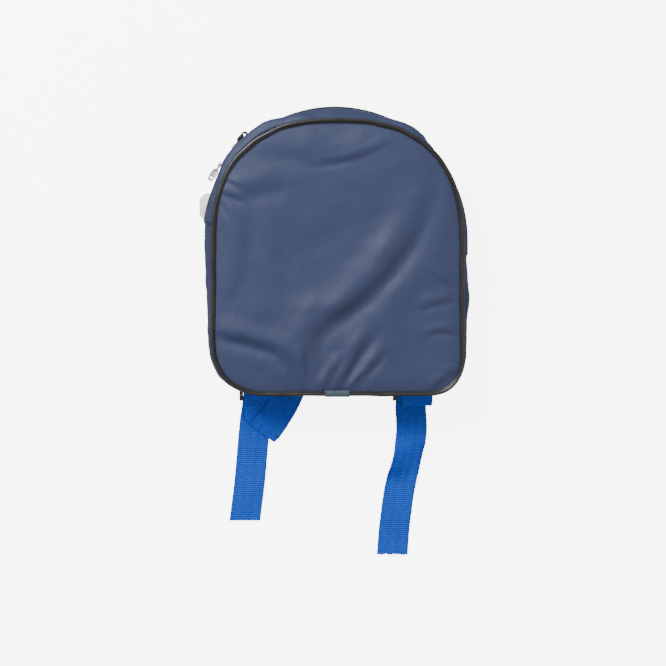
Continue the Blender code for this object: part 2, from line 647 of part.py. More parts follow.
def make_tag(card, plastic):
    """An eight-sided card tag on the floor beside the bag, on a short pin through the back seam."""
    cx, cy = TAG_CENTRE
    half_x, half_y = TAG_WIDTH / 2, TAG_HEIGHT / 2
    corners = []
    for sx, sy in ((1, 1), (-1, 1), (-1, -1), (1, -1)):
        pair = [(sx * half_x, sy * (half_y - TAG_CORNER)), (sx * (half_x - TAG_CORNER), sy * half_y)]
        corners += pair if sx * sy > 0 else pair[::-1]
    outline = [Vector((cx + x, cy + y, 0)) for x, y in corners]
    tag = slab("hang_tag", outline, 0.0002, TAG_THICKNESS, card)
    hole = bmesh.new()
    bmesh.ops.create_cone(hole, cap_ends=True, segments=12, radius1=TAG_PIN_RADIUS + 2 * GAP,
                          radius2=TAG_PIN_RADIUS + 2 * GAP, depth=0.01,
                          matrix=Matrix.Translation((TAG_PIN[0], TAG_PIN[1], 0)))
    combine(tag, helper("hang_tag_hole", hole), "DIFFERENCE")
    tube("hang_tag_pin", [(*TAG_PIN, 0.0003), (*TAG_PIN, BACK_PANEL_Z / 2), (*TAG_PIN, BACK_PANEL_Z - GAP)],
         TAG_PIN_RADIUS, plastic)


def main():
    for old in list(bpy.data.objects):
        bpy.data.objects.remove(old)
    nylon = material("navy_nylon", (0.072, 0.105, 0.205), 0.42)
    piping = material("black_piping", (0.012, 0.012, 0.014), 0.35)
    foam = material("foam", (0.55, 0.55, 0.53), 0.9)
    lining = material("lining", (0.03, 0.035, 0.05), 0.7)
    binding = material("teal_binding", (0.06, 0.17, 0.22), 0.6)
    tape = material("zip_tape", (0.02, 0.03, 0.07), 0.7)
    chain = material("zip_chain", (0.015, 0.02, 0.04), 0.4)
    metal = material("nickel", (0.55, 0.53, 0.5), 0.3, 1.0)
    webbing = material("blue_webbing", (0.04, 0.15, 0.5), 0.6)
    plastic = material("black_plastic", (0.02, 0.02, 0.022), 0.4)
    card = material("tag_card", (0.85, 0.82, 0.76), 0.7)

    make_back(nylon, foam, lining, piping, binding)
    make_gusset(nylon, tape, chain)
    make_front(nylon, piping, binding)
    make_tab(binding)
    make_slider("left", SLIDER_LEFT_ANGLE, metal)
    make_slider("right", SLIDER_RIGHT_ANGLE, metal)
    for side, x in (("left", BUCKLE_LEFT_X), ("right", BUCKLE_RIGHT_X)):
        make_strap(side, x, nylon, foam, lining)
        make_buckle(side, x, plastic, webbing)
    make_left_webbing(webbing)
    make_right_webbing(webbing)
    make_carry_loop(webbing)
    make_tag(card, plastic)


main()
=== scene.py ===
"""Looks of a small school backpack lying on its back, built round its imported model. Units are metres."""

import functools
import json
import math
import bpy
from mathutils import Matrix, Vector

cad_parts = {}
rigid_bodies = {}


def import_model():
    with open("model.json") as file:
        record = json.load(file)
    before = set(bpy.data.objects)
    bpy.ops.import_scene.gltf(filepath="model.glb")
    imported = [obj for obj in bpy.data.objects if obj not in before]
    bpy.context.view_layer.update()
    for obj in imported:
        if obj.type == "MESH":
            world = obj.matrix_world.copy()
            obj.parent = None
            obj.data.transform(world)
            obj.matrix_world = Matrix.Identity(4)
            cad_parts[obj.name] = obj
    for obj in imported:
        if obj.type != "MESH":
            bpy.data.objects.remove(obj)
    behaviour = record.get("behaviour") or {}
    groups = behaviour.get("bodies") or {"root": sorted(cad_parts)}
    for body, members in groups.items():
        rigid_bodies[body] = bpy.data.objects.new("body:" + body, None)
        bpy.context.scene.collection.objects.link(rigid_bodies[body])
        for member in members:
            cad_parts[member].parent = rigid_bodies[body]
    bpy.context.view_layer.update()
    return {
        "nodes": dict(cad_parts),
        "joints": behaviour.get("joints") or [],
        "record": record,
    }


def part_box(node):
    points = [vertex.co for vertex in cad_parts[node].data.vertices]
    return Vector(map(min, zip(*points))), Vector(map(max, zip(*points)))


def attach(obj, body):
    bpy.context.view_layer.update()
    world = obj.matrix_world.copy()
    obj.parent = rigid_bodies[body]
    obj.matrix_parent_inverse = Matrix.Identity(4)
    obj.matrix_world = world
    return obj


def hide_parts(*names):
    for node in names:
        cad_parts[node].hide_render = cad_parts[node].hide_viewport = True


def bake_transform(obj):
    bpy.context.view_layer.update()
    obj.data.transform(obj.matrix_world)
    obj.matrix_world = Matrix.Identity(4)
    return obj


bl_info = {
    "name": "School Backpack",
    "version": (1, 0, 0),
    "blender": (4, 5, 0),
    "location": "View3D > Sidebar > Backpack",
    "description": "Sews the soft pieces of a small school backpack round its frame",
    "category": "Object",
}

import bmesh
import bpy
import numpy as np
from bpy.props import FloatProperty, FloatVectorProperty, IntProperty, PointerProperty
from mathutils import Matrix, Vector, geometry

for startup_object in list(bpy.data.objects):
    bpy.data.objects.remove(startup_object)
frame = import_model()

MM = 0.001
TAU = 2 * math.pi
UP = Vector((0, 0, 1))
ACROSS = Vector((1, 0, 0))
JOINTS = {joint["name"]: joint for joint in frame["joints"]}


# --- places read from the frame -----------------------------------------------------------------------
def node_points(names, low=-1.0, high=1.0):
    """Corners of these nodes between two heights, as rows of x, y, z."""
    rows = [tuple(v.co) for name in names for v in frame["nodes"][name].data.vertices]
    points = np.array(rows)
    return points[(points[:, 2] >= low) & (points[:, 2] <= high)]


class Outline:
    """A closed outline round a centre: its reach from there at any angle, in radians."""

    def __init__(self, points, centre, grow=0.0):
        flat = [Vector(p[:2]) for p in points]
        hull = [flat[i] - centre for i in geometry.convex_hull_2d(flat)]
        angles = np.array([math.atan2(p.y, p.x) for p in hull])
        order = np.argsort(angles)
        angles, hull = angles[order], [hull[i] for i in order]
        table = []
        self.angles = np.linspace(-math.pi, math.pi, 1441)
        for angle in self.angles:
            right = int(np.searchsorted(angles, angle)) % len(hull)
            a, b = hull[right - 1], hull[right]
            side = b - a
            across = math.cos(angle) * side.y - math.sin(angle) * side.x
            table.append((a.x * side.y - a.y * side.x) / across)
        soft = np.array(table[:-1])
        for _ in range(10):
            soft = (np.roll(soft, 3) + soft + np.roll(soft, -3)) / 3
        self.reach = np.append(soft, soft[0]) + grow

    def at(self, angle):
        return np.interp((np.asarray(angle) + math.pi) % TAU - math.pi, self.angles, self.reach)


PANEL_NODES = ("upper_front_panel", "lower_front_panel")
PIPING_NODES = ("upper_front_piping", "lower_front_piping")
fold_joint = JOINTS["flap_open"]
FOLD_POINT = Vector(fold_joint["pos_m"])
FOLD_AXIS = Vector(fold_joint["axis"]).normalized()
FOLD_ACROSS = Vector((-FOLD_AXIS.y, FOLD_AXIS.x, 0))
CENTRE = Vector((FOLD_POINT.x, FOLD_POINT.y - 0.012))
PIPING_RADIUS = (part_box("rear_piping")[1].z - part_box("rear_piping")[0].z) / 2
FRONT_Z = (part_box("upper_front_piping")[0].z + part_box("upper_front_piping")[1].z) / 2
BACK_Z = (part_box("rear_piping")[0].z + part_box("rear_piping")[1].z) / 2
ZIP_Z = (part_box("front_zip_chain")[0].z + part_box("rear_zip_chain")[1].z) / 2
UNDER_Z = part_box("back_panel")[0].z
front_ring = Outline(node_points(PIPING_NODES), CENTRE, -PIPING_RADIUS)
back_ring = Outline(node_points(("rear_piping",)), CENTRE, -PIPING_RADIUS)
zip_ring = Outline(node_points(("front_zip_chain", "lower_gusset"), ZIP_Z - 0.007, ZIP_Z + 0.007), CENTRE)


def gusset_reach(angle, z):
    """How far the gusset stands from the centre at this angle and height: widest at the zip."""
    middle = zip_ring.at(angle)
    rise = np.clip((z - ZIP_Z) / (FRONT_Z - ZIP_Z), 0, 1)
    drop = np.clip((ZIP_Z - z) / (ZIP_Z - BACK_Z), 0, 1)
    front = (front_ring.at(angle) - middle) * (1 - np.cos(math.pi / 2 * rise))
    back = (back_ring.at(angle) - middle) * (1 - np.cos(math.pi / 2 * drop))
    return middle + front + back


def beyond_fold(x, y):
    """Distance past the line that the flap folds on, towards the top of the bag."""
    return (x - FOLD_POINT.x) * FOLD_ACROSS.x + (y - FOLD_POINT.y) * FOLD_ACROSS.y


def fold_angles(z):
    """The angles at which the fold line meets the gusset at height z: right one, then left one."""
    angles = np.linspace(-math.pi / 2, 1.5 * math.pi, 2881)
    reach = gusset_reach(angles, z)
    side = beyond_fold(CENTRE.x + reach * np.cos(angles), CENTRE.y + reach * np.sin(angles))
    above = np.where(side > 0)[0]
    return angles[above[0]], angles[above[-1]]


# --- ripples and folds --------------------------------------------------------------------------------
def ripple(a, b, seed, waves=7):
    """Smooth uneven ripples between about -1 and 1, the same on every run."""
    chance = np.random.default_rng(seed)
    total = 0
    for _ in range(waves):
        turn, phase = chance.uniform(0, TAU, 2)
        pitch = chance.uniform(0.6, 1.8)
        total = total + np.sin((a * math.cos(turn) + b * math.sin(turn)) * pitch * TAU + phase)
    return total / math.sqrt(waves)


def beside_line(x, y, line):
    """Signed distance to a line of points and the share of its length at the nearest place."""
    best = np.full(x.shape, 1e9)
    signed, along = np.zeros(x.shape), np.zeros(x.shape)
    lengths = [math.dist(a, b) for a, b in zip(line, line[1:])]
    run, total = 0.0, sum(lengths)
    for (ax, ay), (bx, by), length in zip(line, line[1:], lengths):
        ux, uy = (bx - ax) / length, (by - ay) / length
        share = np.clip((x - ax) * ux + (y - ay) * uy, 0, length)
        dx, dy = x - ax - ux * share, y - ay - uy * share
        distance = np.hypot(dx, dy)
        nearer = distance < best
        side = np.where((x - ax) * uy - (y - ay) * ux >= 0, 1.0, -1.0)
        signed = np.where(nearer, side * distance, signed)
        along = np.where(nearer, (run + share) / total, along)
        best = np.minimum(best, distance)
        run += length
    return signed, along


def curve_through(points, count):
    """A smooth line through a few points."""
    rows = np.array(points, float)
    ends = np.vstack([2 * rows[0] - rows[1], rows, 2 * rows[-1] - rows[-2]])
    made = []
    for i in range(len(rows) - 1):
        a, b, c, d = ends[i:i + 4]
        for t in np.linspace(0, 1, count, endpoint=i == len(rows) - 2):
            made.append(0.5 * (2 * b + (c - a) * t + (2 * a - 5 * b + 4 * c - d) * t ** 2
                               + (3 * b - a - 3 * c + d) * t ** 3))
    return [tuple(row) for row in made]


# Each fold: points along its steep shaded face, its height, its spread to either side, and the depth of
# the trough beyond the face as a share of its height. Millimetres.
FOLDS = (
    (((90, 156), (78, 102), (56, 67), (31, 39), (9, 21), (-13, 5), (-22, -14), (-26, -68)), 4.8, 9.5, 0.7),
    (((-5, 34), (-24, 22), (-45, 12)), 1.1, 7.0, 0.6),
    (((-84, 182), (-30, 173), (20, 172), (76, 190)), 2.0, 9.0, 0.5),
    (((-38, 160), (16, 168), (70, 190)), 1.1, 3.2, 0.5),
    (((-122, 138), (-80, 138), (-30, 152)), 2.0, 9.0, 0.6),
    (((-120, 154), (-101, 147), (-86, 138)), 1.2, 2.6, 0.7),
    (((-124, 142), (-104, 134), (-80, 124)), 1.2, 2.8, 0.7),
    (((-122, 138), (-106, 124), (-94, 104)), 1.1, 2.8, 0.6),
    (((-92, 146), (-87, 100), (-92, 60), (-112, 6)), 1.8, 9.0, 0.4),
    (((-134, 8), (-104, -3), (-74, -11), (-52, -20), (-40, -44)), 2.8, 6.0, 0.8),
    (((-18, -68), (-27, -38), (-28, -4)), 1.5, 3.8, 0.7),
    (((-12, -66), (-8, -50), (-1, -28)), 1.1, 2.4, 0.8),
    (((-9, -68), (-3, -44), (13, -18)), 1.7, 3.4, 0.8),
    (((-2, -72), (17, -32), (44, 10)), 2.9, 5.5, 0.8),
    (((8, -66), (21, -48), (34, -34)), 1.0, 2.2, 0.8),
    (((10, -70), (31, -40), (56, -12)), 1.8, 3.8, 0.7),
    (((-38, -68), (-40, -48), (-48, -28)), 1.0, 3.2, 0.6),
    (((86, -66), (106, -47), (128, -33)), 1.6, 3.4, 0.8),
    (((76, 20), (98, 28), (126, 32)), 1.4, 4.0, 0.7),
    (((84, -5), (104, 1), (128, -4)), 1.2, 3.4, 0.7),
    (((98, -34), (112, -38), (130, -42)), 1.0, 2.8, 0.7),
    (((88, 68), (106, 50), (128, 42)), 1.3, 3.8, 0.7),
    (((104, 150), (92, 128), (90, 96)), 1.1, 8.0, 0.4),
    (((70, 30), (64, 2), (72, -30)), 0.9, 8.0, 0.4),
    (((-60, 96), (-50, 60), (-58, 34)), 0.8, 9.0, 0.4),
    (((14, 150), (6, 112), (-16, 84)), 0.7, 10.0, 0.4),
    (((-78, 40), (-66, 20), (-70, 2)), 0.7, 7.0, 0.4),
    (((30, 128), (52, 112), (60, 92)), 0.6, 7.0, 0.4),
)
LIT_FROM = (-0.6, 0.8)  # the steep face of each fold looks away from here
FOLD_FADE = 0.38  # share of its length in which a fold dies away at either end
PUCKER_REACH = 6 * MM  # how far the puckers of the seam run into the panel
# Sharp creases from how the cloth was packed: points along each, in millimetres.
CREASES = (((40, 73), (104, 72)), ((-92, 71), (6, 70)), ((90, 34), (120, 34)))


def panel_height(x, y, depth):
    """Rise and fall of the front panel at x, y, where depth is the distance in from its seam."""
    left, low = x / MM, y / MM
    height = np.zeros(x.shape)
    for points, rise, spread, trough in FOLDS:
        side, along = beside_line(left, low, curve_through(points, 8))
        run = np.subtract(points[-1], points[0])
        side = side * math.copysign(1, run[1] * LIT_FROM[0] - run[0] * LIT_FROM[1]) / spread
        fade = np.clip(np.minimum(along, 1 - along) / FOLD_FADE, 0, 1)
        fade = fade * fade * (3 - 2 * fade)
        wander = 0.15 * ripple(left / 40, low / 40, int(10 * spread))
        shape = np.exp(-((side - 1.0 - wander) / 1.6) ** 2) - trough * np.exp(-((side + 0.8) / 0.9) ** 2)
        height += rise * fade * (shape + 0.15 * np.exp(-((side + 2.9) / 1.2) ** 2))
    for points in CREASES:
        side, along = beside_line(left, low, points)
        height += 0.10 * np.exp(-(side / 0.8) ** 2) * np.clip(np.minimum(along, 1 - along) / 0.1, 0, 1)
    broad = 0.6 * ripple(x / 0.12, y / 0.12, 5) + 0.22 * ripple(x / 0.045, y / 0.045, 8)
    broad += 0.05 * ripple(x / 0.016, y / 0.028, 9) * (1 + ripple(x / 0.08, y / 0.08, 10))
    puckers = 0.22 * ripple(x / 0.012, y / 0.012, 13) * np.exp(-depth / PUCKER_REACH)
    return (height + broad + puckers) * MM


# --- meshes -------------------------------------------------------------------------------------------
def add_piece(name, mesh, finish, body=None, replaces=()):
    """Links a finished mesh as a piece of the object that rides on a body."""
    piece = bpy.data.objects.new(name, mesh)
    bpy.context.scene.collection.objects.link(piece)
    mesh.materials.clear()
    mesh.materials.append(FINISHES[finish]())
    if body:
        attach(piece, body)
    if replaces:
        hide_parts(*replaces)
    return piece


def smooth_mesh(name, bm, sharp=50.0):
    mesh = bpy.data.meshes.new(name)
    bm.to_mesh(mesh)
    bm.free()
    mesh.shade_smooth()
    mesh.set_sharp_from_angle(angle=math.radians(sharp))
    return mesh


def cloth_grid(name, columns, rows, place, flip=False):
    """A grid sheet whose points go where place(u, v) says, with u and v from 0 to 1."""
    bm = bmesh.new()
    bm.loops.layers.uv.new("UVMap")
    bmesh.ops.create_grid(bm, x_segments=columns, y_segments=rows, size=0.5, calc_uvs=True)
    u = np.array([v.co.x for v in bm.verts]) + 0.5
    v = np.array([v.co.y for v in bm.verts]) + 0.5
    for vert, point in zip(bm.verts, np.stack(place(u, v), axis=1)):
        vert.co = point
    if flip:
        bmesh.ops.reverse_faces(bm, faces=bm.faces)
    return smooth_mesh(name, bm)


def thicken(piece, thickness, offset=-1.0):
    solid = piece.modifiers.new("thickness", "SOLIDIFY")
    solid.thickness = thickness
    solid.offset = offset
    solid.use_even_offset = False


def tube_mesh(name, points, radius, closed=False, sides=3):
    """A round cord through these points, with closed ends."""
    curve = bpy.data.curves.new(name, "CURVE")
    curve.dimensions = "3D"
    curve.bevel_depth = radius
    curve.bevel_resolution = sides
    curve.use_fill_caps = True
    spline = curve.splines.new("POLY")
    spline.points.add(len(points) - 1)
    for item, point in zip(spline.points, points):
        item.co = (*point, 1)
    spline.use_cyclic_u = closed
    cord = bpy.data.objects.new(name, curve)
    bpy.context.scene.collection.objects.link(cord)
    mesh = bpy.data.meshes.new_from_object(cord.evaluated_get(bpy.context.evaluated_depsgraph_get()))
    bpy.data.objects.remove(cord)
    bm = bmesh.new()
    bm.from_mesh(mesh)
    bmesh.ops.remove_doubles(bm, verts=bm.verts, dist=1e-6)
    bmesh.ops.recalc_face_normals(bm, faces=bm.faces)
    return smooth_mesh(name, bm)


def frame_at(point, ahead, up):
    """A matrix that puts local X along ahead and local Z near up."""
    ahead = ahead.normalized()
    side = up.cross(ahead).normalized()
    return Matrix.Translation(point) @ Matrix((ahead, side, ahead.cross(side))).transposed().to_4x4()


STITCH_LENGTH, STITCH_WIDTH = 2.2 * MM, 0.55 * MM
GUSSET_STITCH, JOIN_STITCH, STRAP_STITCH = 3.2 * MM, 2.9 * MM, 3.4 * MM  # from one stitch to the next


def stitch_mesh(name, rows, pitch):
    """Thread stitches along rows of (point, normal): each a small flattened bead."""
    bm = bmesh.new()
    for row in rows:
        walked, due = 0.0, pitch / 2
        for (a, normal), (b, _) in zip(row, row[1:]):
            step = (b - a).length
            while step > 0 and due <= walked + step:
                at = a.lerp(b, (due - walked) / step)
                size = Matrix.Diagonal((STITCH_LENGTH / 2, STITCH_WIDTH / 2, STITCH_WIDTH / 3, 1))
                bmesh.ops.create_icosphere(bm, subdivisions=1, radius=1,
                                           matrix=frame_at(at, b - a, normal) @ size)
                due += pitch
            walked += step
    return smooth_mesh(name, bm, 180)


def refined_copy(node, finish, bevel, segments=2):
    """A copy of a hard node with its edges rounded, standing for that node."""
    source = frame["nodes"][node]
    bm = bmesh.new()
    bm.from_mesh(source.data)
    bmesh.ops.remove_doubles(bm, verts=bm.verts, dist=2e-6)
    bmesh.ops.dissolve_limit(bm, angle_limit=math.radians(4), verts=bm.verts, edges=bm.edges)
    edges = [e for e in bm.edges if len(e.link_faces) == 2 and e.calc_face_angle() > math.radians(28)]
    bmesh.ops.bevel(bm, geom=edges, offset=bevel, offset_type="OFFSET", segments=segments, profile=0.5,
                    affect="EDGES", clamp_overlap=True, material=-1)
    mesh = smooth_mesh(node, bm, 35)
    body = next(key for key, nodes in frame["record"]["behaviour"]["bodies"].items() if node in nodes)
    add_piece(node + "_finished", mesh, finish, body, (node,))


def blend_over_fold(piece):
    """Cloth that goes on from the bag to the flap: its place is baked into its mesh, and it rides on no body.
    """
    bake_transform(piece)


# --- shader helpers -----------------------------------------------------------------------------------
class Value:
    """A number socket that takes part in Python sums; each sum adds a Math node."""

    def __init__(self, finish, socket):
        self.finish, self.socket = finish, socket

    def sum(self, operation, first, second=0.0):
        node = self.finish.node("ShaderNodeMath", {"operation": operation}, {0: first, 1: second})
        return Value(self.finish, node.outputs[0])

    def __add__(self, other):
        return self.sum("ADD", self, other)

    __radd__ = __add__

    def __mul__(self, other):
        return self.sum("MULTIPLY", self, other)

    __rmul__ = __mul__

    def sine(self):
        return self.sum("SINE", self)


class Finish:
    """One material and the few calls that build its nodes."""

    def __init__(self, name):
        self.material = bpy.data.materials.new(name)
        self.material.use_nodes = True
        self.tree = self.material.node_tree
        self.shader = self.tree.nodes["Principled BSDF"]

    def node(self, kind, settings=None, values=None):
        made = self.tree.nodes.new(kind)
        for key, setting in (settings or {}).items():
            setattr(made, key, setting)
        for key, value in (values or {}).items():
            self.feed(made.inputs[key], value)
        return made

    def feed(self, socket, value):
        if isinstance(value, Value):
            value = value.socket
        if isinstance(value, bpy.types.NodeSocket):
            self.tree.links.new(value, socket)
        else:
            socket.default_value = value

    def place(self, by="Object", scale=(1, 1, 1)):
        """The piece's own coordinates, scaled."""
        coordinates = self.node("ShaderNodeTexCoord")
        mapping = self.node("ShaderNodeMapping", None, {"Vector": coordinates.outputs[by], "Scale": scale})
        return mapping.outputs[0]

    def split(self, vector):
        parts = self.node("ShaderNodeSeparateXYZ", None, {0: vector})
        return [Value(self, socket) for socket in parts.outputs]

    def noise(self, place, scale, detail=3.0, roughness=0.55):
        values = {"Vector": place, "Scale": scale, "Detail": detail, "Roughness": roughness}
        made = self.node("ShaderNodeTexNoise", None, values)
        return Value(self, made.outputs["Fac"])

    def mix(self, share, first, second):
        made = self.node("ShaderNodeMix", {"data_type": "RGBA"}, {0: share, 6: first, 7: second})
        return made.outputs[2]

    def bump(self, height, distance):
        made = self.node("ShaderNodeBump", None, {"Height": height, "Distance": distance, "Strength": 1.0})
        self.feed(self.shader.inputs["Normal"], made.outputs[0])

    def set(self, **values):
        for key, value in values.items():
            self.feed(self.shader.inputs[key.replace("_", " ")], value)


def shade(colour, amount):
    """The colour made lighter or darker by this factor."""
    return (*[min(1.0, part * amount) for part in colour[:3]], 1.0)


def colours():
    return bpy.context.scene.backpack_colours


@functools.cache
def nylon():
    """Coated nylon: a fine plain weave with a satin face, a little darker where it has been rubbed."""
    made = Finish("navy_nylon")
    place = made.place()
    x, y, z = made.split(place)
    turn = TAU / colours().thread_pitch
    weave = ((x + z * 0.7) * turn).sine() * ((y + z * 0.7) * turn).sine()
    streaks = made.noise(made.place(scale=(60, 900, 60)), 1.0, 2.0)
    cloud = made.noise(place, 26.0, 4.0)
    base = colours().nylon
    tint = made.mix(cloud * 0.55 + streaks * 0.45, shade(base, 0.86), shade(base, 1.14))
    made.set(Base_Color=tint, Roughness=cloud * 0.12 + weave * 0.02 + 0.50)
    made.shader.inputs["Specular IOR Level"].default_value = 0.30
    made.bump(weave * 0.25 + streaks * 0.25 + cloud * 0.3, 0.00006)
    return made.material


@functools.cache
def webbing():
    """Ribbed webbing: the threads run over the ribs side by side, with painted shade in the dips between ribs
    and threads.
    """
    made = Finish("blue_webbing")
    place = made.place("UV")
    across, along, _ = made.split(place)
    threads = (across * (TAU * 24)).sine()
    zigzag = (across * (TAU * 3.5)).sine() * 1.1
    picks_and_dip_shade = (along * TAU + zigzag).sine()
    fuzz = made.noise(made.place(), 900.0, 2.0)
    patches = made.noise(made.place(), 40.0, 3.0)
    base = colours().webbing
    # The picks and threads darken the colour where the ribs and threads dip: painted shade in the dips, laid
    # over random tone from the fuzz and patches.
    tone_and_dip_shade = threads * 0.10 + picks_and_dip_shade * 0.34 + fuzz * 0.3 + patches * 0.3 + 0.18
    made.set(Base_Color=made.mix(tone_and_dip_shade, shade(base, 0.50), shade(base, 1.45)), Roughness=fuzz * 0.15 + 0.52)
    made.shader.inputs["Specular IOR Level"].default_value = 0.15
    made.bump(threads * 0.4 + picks_and_dip_shade * 0.7 + fuzz * 0.5, 0.00020)
    return made.material


@functools.cache
def piping():
    """Glossy black piping with faint grazes along its ridge."""
    made = Finish("black_piping")
    place = made.place()
    grain = made.noise(place, 420.0, 3.0)
    grazes = made.noise(place, 70.0, 5.0)
    base = colours().piping
    made.set(Base_Color=made.mix(grazes, shade(base, 0.8), shade(base, 1.7)), Roughness=grazes * 0.2 + 0.22)
    made.bump(grain, 0.00005)
    return made.material


def woven_tape(name, base, pitch, roughness):
    """A plain woven tape or lining."""
    made = Finish(name)
    x, y, z = made.split(made.place())
    turn = TAU / pitch
    weave = ((x + z) * turn).sine() * ((y + z) * turn).sine()
    cloud = made.noise(made.place(), 90.0, 3.0)
    made.set(Base_Color=made.mix(cloud * 0.7 + weave * 0.15, shade(base, 0.75), shade(base, 1.25)),
             Roughness=cloud * 0.1 + roughness)
    made.shader.inputs["Sheen Weight"].default_value = 0.2
    made.bump(weave * 0.5 + cloud * 0.4, 0.0001)
    return made.material


@functools.cache
def binding():
    return woven_tape("teal_binding", colours().binding, 0.0007, 0.5)


@functools.cache
def inner_binding():
    return woven_tape("inside_binding", (0.012, 0.014, 0.022), 0.0007, 0.6)


@functools.cache
def lining():
    return woven_tape("grey_lining", (0.055, 0.060, 0.075), 0.0006, 0.6)


@functools.cache
def zip_tape():
    return woven_tape("zip_tape", (0.018, 0.026, 0.060), 0.0008, 0.65)


@functools.cache
def zip_chain():
    """The nylon monofilament of the coil."""
    made = Finish("zip_coil")
    rub = made.noise(made.place(), 300.0, 3.0)
    made.set(Base_Color=made.mix(rub, (0.014, 0.020, 0.045, 1), (0.035, 0.045, 0.085, 1)),
             Roughness=rub * 0.2 + 0.2)
    made.bump(rub, 0.00003)
    return made.material


@functools.cache
def thread():
    """Twisted polyester thread."""
    made = Finish("navy_thread")
    twist = made.noise(made.place(), 2600.0, 2.0)
    made.set(Base_Color=made.mix(twist, (0.020, 0.030, 0.070, 1), (0.060, 0.080, 0.150, 1)),
             Roughness=twist * 0.2 + 0.5)
    made.bump(twist, 0.00005)
    return made.material


@functools.cache
def nickel():
    """Nickel plate on zinc: bright, with soft handling marks."""
    made = Finish("nickel_plate")
    place = made.place()
    marks = made.noise(place, 260.0, 5.0, 0.7)
    wear = made.noise(place, 900.0, 2.0)
    base = colours().metal
    made.set(Base_Color=made.mix(marks, shade(base, 0.75), shade(base, 1.15)), Roughness=marks * 0.3 + 0.16)
    made.shader.inputs["Metallic"].default_value = 1.0
    made.bump(marks * 0.5 + wear * 0.5, 0.00004)
    return made.material


@functools.cache
def plastic():
    """Moulded plastic with a fine spark-eroded grain."""
    made = Finish("black_plastic")
    grain = made.noise(made.place(), 1500.0, 3.0)
    scuffs = made.noise(made.place(), 120.0, 5.0)
    made.set(Base_Color=made.mix(scuffs, (0.012, 0.012, 0.014, 1), (0.035, 0.035, 0.038, 1)),
             Roughness=scuffs * 0.2 + 0.3)
    made.bump(grain, 0.00006)
    return made.material


@functools.cache
def card():
    """Coated card, a little yellowed and soft at the edges."""
    made = Finish("tag_card")
    fibres = made.noise(made.place(scale=(1, 1, 4)), 700.0, 4.0)
    stain = made.noise(made.place(), 60.0, 3.0)
    base = colours().tag
    made.set(Base_Color=made.mix(stain * 0.7 + fibres * 0.3, shade(base, 0.94), shade(base, 1.03)),
             Roughness=fibres * 0.2 + 0.5)
    made.bump(fibres, 0.00005)
    return made.material


@functools.cache
def foam():
    """Open-cell foam at the cut edges."""
    made = Finish("grey_foam")
    cells = made.noise(made.place(), 1300.0, 4.0, 0.7)
    made.set(Base_Color=made.mix(cells, (0.30, 0.30, 0.29, 1), (0.55, 0.55, 0.53, 1)),
             Roughness=cells * 0.1 + 0.8)
    made.bump(cells, 0.0003)
    return made.material


FINISHES = {maker.__name__: maker for maker in (
    nylon, webbing, piping, binding, inner_binding, lining, zip_tape, zip_chain, thread, nickel, plastic, card,
    foam)}


# --- what a user would change -------------------------------------------------------------------------
class BackpackColours(bpy.types.PropertyGroup):
    """Colours and weave of the bag."""

    nylon: FloatVectorProperty(name="Nylon", description="Colour of the coated nylon", subtype="COLOR",
                               default=(0.021, 0.030, 0.074), min=0, max=1)
    webbing: FloatVectorProperty(name="Webbing", description="Colour of the strap webbing", subtype="COLOR",
                                 default=(0.006, 0.060, 0.400), min=0, max=1)
    piping: FloatVectorProperty(name="Piping", description="Colour of the piping", subtype="COLOR",
                                default=(0.009, 0.008, 0.007), min=0, max=1)
    binding: FloatVectorProperty(name="Binding", description="Colour of the binding tape", subtype="COLOR",
                                 default=(0.018, 0.046, 0.066), min=0, max=1)
    metal: FloatVectorProperty(name="Metal", description="Colour of the zip sliders", subtype="COLOR",
                               default=(0.62, 0.59, 0.54), min=0, max=1)
    tag: FloatVectorProperty(name="Tag", description="Colour of the card tag", subtype="COLOR",
                             default=(0.97, 0.94, 0.87), min=0, max=1)
    thread_pitch: FloatProperty(name="Thread pitch", description="Distance between the nylon's threads",
                                default=0.00042, min=0.0002, max=0.002, unit="LENGTH", precision=5)


class BackpackSizes(bpy.types.PropertyGroup):
    """Sizes of the sewn pieces."""

    cloth: FloatProperty(name="Cloth", description="Thickness of the nylon", default=0.00045, min=0.0002,
                         max=0.002, unit="LENGTH", precision=5)
    webbing: FloatProperty(name="Webbing", description="Thickness of the webbing", default=0.0011,
                           min=0.0005, max=0.003, unit="LENGTH", precision=5)
    rib_pitch: FloatProperty(name="Rib pitch", description="Distance between the webbing's ribs",
                             default=0.0019, min=0.001, max=0.005, unit="LENGTH", precision=5)
    rib_height: FloatProperty(name="Rib height", description="Height of the webbing's ribs", default=0.00028,
                              min=0.0, max=0.001, unit="LENGTH", precision=5)
    tooth_pitch: FloatProperty(name="Tooth pitch", description="Distance between the teeth of the zip",
                               default=0.0013, min=0.001, max=0.004, unit="LENGTH", precision=5)
    panel_columns: IntProperty(name="Panel columns", description="Grid columns of the front panel",
                               default=176, min=40, max=220)


def sizes():
    return bpy.context.scene.backpack_sizes


# --- the front ----------------------------------------------------------------------------------------
def square_to_outline(u, v, outline, inset):
    """Spreads a unit square over an outline, so that the square's rim lies on it."""
    a, b = 2 * u - 1, 2 * v - 1
    far = np.maximum(np.abs(a), np.abs(b))
    angle = np.arctan2(b, a)
    reach = outline.at(angle) - inset
    return CENTRE.x + far * reach * np.cos(angle), CENTRE.y + far * reach * np.sin(angle), (1 - far) * reach


